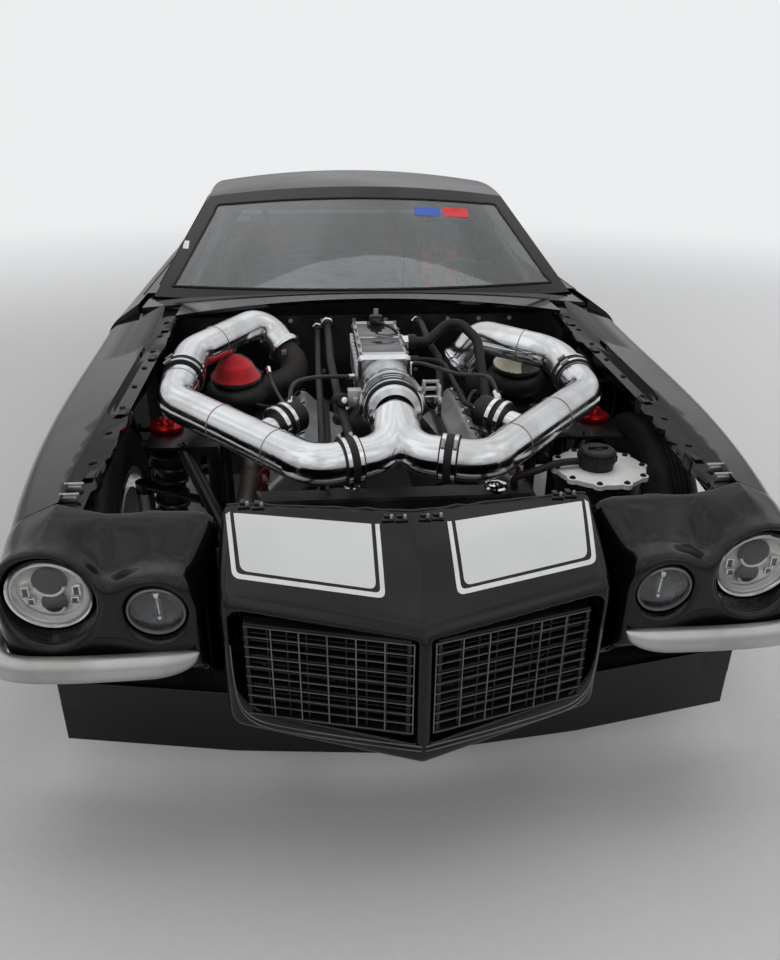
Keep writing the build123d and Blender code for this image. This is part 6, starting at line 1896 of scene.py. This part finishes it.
    @staticmethod
    def to_piece(name: str, net: tuple[Field, Field], side: int,
                 material: bpy.types.Material) -> bpy.types.Object:
        """Object of a net, moved to the car's frame and relaxed a little."""
        verts, quads = net
        points = verts * (side, 1, 1) / 1000 + (0, NOSE_Y, 0)
        mesh = bpy.data.meshes.new(name)
        mesh.from_pydata(points.tolist(), [], (quads if side > 0 else quads[:, ::-1]).tolist())
        mesh.materials.append(material)
        work = bmesh.new()
        work.from_mesh(mesh)
        for _ in range(3):
            bmesh.ops.smooth_vert(work, verts=work.verts, factor=0.5, use_axis_x=True, use_axis_y=True,
                                  use_axis_z=True)
        shade_smooth(write_mesh(work, mesh))
        return stand(name, mesh)

    def fender(self, shop: Workshop, label: str) -> None:
        """Copy of a fender's skin behind the pods."""
        work = bmesh.new()
        work.from_mesh(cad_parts[f"front_fender_{label}"].data)
        bmesh.ops.remove_doubles(work, verts=work.verts, dist=1e-6)
        bmesh.ops.bisect_plane(work, geom=work.verts[:] + work.edges[:] + work.faces[:], dist=1e-7,
                               plane_co=place(0, self.join - 0.6, 0), plane_no=BACK, clear_inner=True)
        mesh = write_mesh(work, bpy.data.meshes.new(f"fender_skin_{label}"))
        mesh.materials.clear()
        mesh.materials.append(shop.wardrobe["body_paint"])
        for polygon in mesh.polygons:
            polygon.material_index = 0
        shade_smooth(mesh, 28)
        settle(stand(f"fender_skin_{label}", mesh), Body.CAR, [f"front_fender_{label}"])

    def build(self, shop: Workshop) -> None:
        """Prow, both pods and both fenders."""
        paint = shop.wardrobe["body_paint"]
        settle(self.to_piece("prow_skin", self.prow(), 1, paint), Body.CAR, ["nose_panel"])
        net = self.pods()
        for label, side in SIDES:
            settle(self.to_piece(f"lamp_pods_{label}", net, side, paint), Body.CAR)
            self.fender(shop, label)
            closer = shop.draft(f"gap_closer_{label}")
            closer.box((side * 396, side * 446), (300, 306), (284, 640), "black_plastic")
            closer.box((side * 380, side * 798), (303, 308), (236, 450), "black_plastic")
            closer.done("chassis_paint")


@dataclass
class Bumpers:
    """Rounded front bumperettes."""

    line: tuple[Point, ...] = ((446, 143), (520, 137), (640, 134), (752, 138),
                               (822, 152), (862, 184), (880, 236), (886, 305))
    middle: float = 467.0
    high: float = 0.0285
    deep: float = 0.024

    def build(self, shop: Workshop) -> None:
        """Both bumperettes."""
        draft, steps = shop.draft("bumperette_bars"), 28
        for side in (-1, 1):
            line = smooth_line(along((side * x, s, self.middle) for x, s in self.line), 8)
            reach = np.cumsum([0.0] + [(b - a).length for a, b in zip(line, line[1:])]).tolist()
            verts = []
            for i, (point, done) in enumerate(zip(line, reach)):
                out = heading(line, i).cross(UP) * side
                edge = min(done / 0.1, (reach[-1] - done) / 0.045, 1.0)
                grow = math.sqrt(max(0.0, 1 - (1 - edge) ** 2))
                high, deep = self.high * (0.1 + 0.9 * grow), self.deep * (0.15 + 0.85 * grow)
                middle = point + UP * ((self.high - high) * (0.8 if done < 0.1 else 0.3))
                verts += [middle + out * (deep * c) + UP * (high * math.copysign(abs(d) ** 0.9, d))
                          for c, d in around(steps)]
            draft.add(verts, hoops(len(line), steps), "satin_silver")
        draft.done("satin_silver", replaces=["bumperettes"])


# The studio


@dataclass
class Studio:
    """Camera, floor, world and lamps."""

    eye: tuple[float, float, float] = (-0.191, -1.224, 1.494)
    yaw: float = -5.47
    pitch: float = 25.91
    roll: float = 0.5
    focal: float = 809.0
    high: int = 960
    sensor: float = 36.0
    middle: float = 496.3
    pale: tuple[float, float, float, float] = (0.84, 0.85, 0.86, 1)
    half: float = 60.0

    def camera(self) -> None:
        """Camera at the photograph's place and angle."""
        yaw, pitch, roll = (math.radians(v) for v in (self.yaw, self.pitch, self.roll))
        ahead = Vector((-math.sin(yaw), math.cos(yaw), 0))
        right = Vector((math.cos(yaw), math.sin(yaw), 0))
        forward = ahead * math.cos(pitch) - UP * math.sin(pitch)
        up = ahead * math.sin(pitch) + UP * math.cos(pitch)
        across = right * math.cos(roll) + up * math.sin(roll)
        top = up * math.cos(roll) - right * math.sin(roll)
        data = bpy.data.cameras.new("camera")
        data.lens = self.focal / self.high * self.sensor
        data.sensor_width = self.sensor
        data.shift_y = (self.middle - self.high / 2) / self.high
        data.clip_start, data.clip_end = 0.05, 200.0
        camera = stand("camera", data)
        x, s, z = self.eye
        turn = Matrix((across, top, -forward)).transposed()
        camera.matrix_world = Matrix.Translation(Vector((x, s + NOSE_Y, z))) @ turn.to_4x4()
        bpy.context.scene.camera = camera

    def world(self) -> None:
        """Pale sky that is plain to the camera and graded in reflections."""
        world = bpy.data.worlds.new("studio_sky")
        bpy.context.scene.world = world
        world.use_nodes = True
        g = Graph(world.node_tree)
        g.tree.nodes.clear()
        out, light = g.add("ShaderNodeOutputWorld"), g.add("ShaderNodeLightPath")
        coords, split = g.add("ShaderNodeTexCoord"), g.add("ShaderNodeSeparateXYZ")
        seen = g.add("ShaderNodeMath", operation="ADD", use_clamp=True)
        g.link((coords, "Generated", split, "Vector"), (light, "Is Glossy Ray", seen, 0),
               (light, "Is Transmission Ray", seen, 1))
        shades = []
        for stops in (((0.02, 0.2), (0.22, 0.42), (0.75, 0.62)), ((0.0, 0.34), (0.2, 0.62), (0.66, 1.0))):
            ramp, shade = g.add("ShaderNodeValToRGB"), g.add("ShaderNodeBackground")
            ramp.color_ramp.elements.new(0.3)
            for element, (spot, value) in zip(ramp.color_ramp.elements, stops):
                element.position = spot
                element.color = (value, value * 1.01, value * 1.03, 1)
            clouds = g.add("ShaderNodeTexNoise", {"Scale": 3.2, "Detail": 4.0})
            lift = g.add("ShaderNodeMapRange", {"From Min": 0.35, "From Max": 0.62, "To Min": 0.62,
                                                "To Max": 1.0})
            g.chain(coords, "Generated", "Vector", clouds, "Fac", "Value", lift, "Result", "Strength", shade)
            g.chain(split, "Z", "Fac", ramp, "Color", "Color", shade)
            shades.append(shade)
        shades.append(g.add("ShaderNodeBackground", {"Color": self.pale}))
        under = shades[0]
        for source, socket, over in ((seen, "Value", shades[1]), (light, "Is Camera Ray", shades[2])):
            mix = g.add("ShaderNodeMixShader")
            g.link((source, socket, mix, "Fac"), (under, 0, mix, 1), (over, 0, mix, 2))
            under = mix
        g.link((under, "Shader", out, "Surface"))

    def floor(self) -> None:
        """Wide pale floor under the tyres, fading into the plain sky far out."""
        material = bpy.data.materials.new("studio_floor")
        material.use_nodes = True
        g = Graph(material.node_tree)
        shader = g.tree.nodes["Principled BSDF"]
        shader.inputs["Roughness"].default_value = 0.9
        coords, light = g.add("ShaderNodeTexCoord"), g.add("ShaderNodeLightPath")
        noise = g.add("ShaderNodeTexNoise", {"Scale": 40.0})
        mix = g.add("ShaderNodeMix", {"A": (0.56, 0.56, 0.56, 1), "B": (0.6, 0.6, 0.6, 1)}, data_type="RGBA")
        far = g.add("ShaderNodeVectorMath", operation="LENGTH")
        fade = g.add("ShaderNodeMapRange", {"From Min": 1.6, "From Max": 9.0},
                     interpolation_type="SMOOTHSTEP")
        share = g.add("ShaderNodeMath", operation="MULTIPLY")
        pale, blend = g.add("ShaderNodeEmission", {"Color": self.pale}), g.add("ShaderNodeMixShader")
        g.chain(coords, "Object", "Vector", noise, "Fac", "Factor", mix, "Result", "Base Color", shader)
        g.chain(coords, "Object", 0, far, "Value", "Value", fade, "Result", 0, share, "Value", "Fac", blend)
        g.link((light, "Is Camera Ray", share, 1), (shader, "BSDF", blend, 1), (pale, "Emission", blend, 2),
               (blend, "Shader", g.tree.nodes["Material Output"], "Surface"))
        mesh = bpy.data.meshes.new("studio_floor")
        corners = [(x * self.half, y * self.half, 0) for x, y in ((-1, -1), (1, -1), (1, 1), (-1, 1))]
        mesh.from_pydata(corners, [], [(0, 1, 2, 3)])
        mesh.materials.append(material)
        stand("studio_floor", mesh)

    @staticmethod
    def lamp(name: str, spot: Point, aim: Point, size: tuple[float, float], power: float) -> None:
        """One soft rectangular lamp aimed at a point."""
        data = bpy.data.lights.new(name, "AREA")
        data.shape = "RECTANGLE"
        data.size, data.size_y = size
        data.energy = power
        lamp = stand(name, data)
        lamp.visible_glossy = False
        lamp.location = spot
        lamp.rotation_mode = "QUATERNION"
        lamp.rotation_quaternion = (Vector(aim) - Vector(spot)).to_track_quat("-Z", "Y")

    def build(self) -> None:
        """Everything round the car."""
        self.camera()
        self.world()
        self.floor()
        self.lamp("overhead", (0.6, -0.4, 5.2), (0, -0.4, 0.4), (3.6, 6.4), 120)
        self.lamp("front_soft", (-2.6, -6.2, 3.0), (0, -1.6, 0.5), (3.0, 2.0), 36)
        self.lamp("side_soft", (5.0, 0.5, 2.6), (0, 0, 0.5), (5.0, 1.6), 50)
        self.lamp("rear_soft", (-3.2, 5.6, 3.0), (0, 1.5, 0.6), (4.0, 1.8), 45)
        bpy.context.scene.view_settings.view_transform = "Standard"


def main() -> None:
    """Build the looks in order."""
    logging.basicConfig(level=logging.INFO, format="%(name)s: %(message)s")
    Studio().build()
    shop = Workshop(Wardrobe(), NodeKit())
    Carried.dress(shop)
    for part in (FrontSkin(), Bumpers(), Nose(), Lamps(), Wheels(), EngineBay(),
                 BodyTrim(), CapCovers(), Cabin()):
        part.build(shop)


if __name__ == "__main__":
    main()
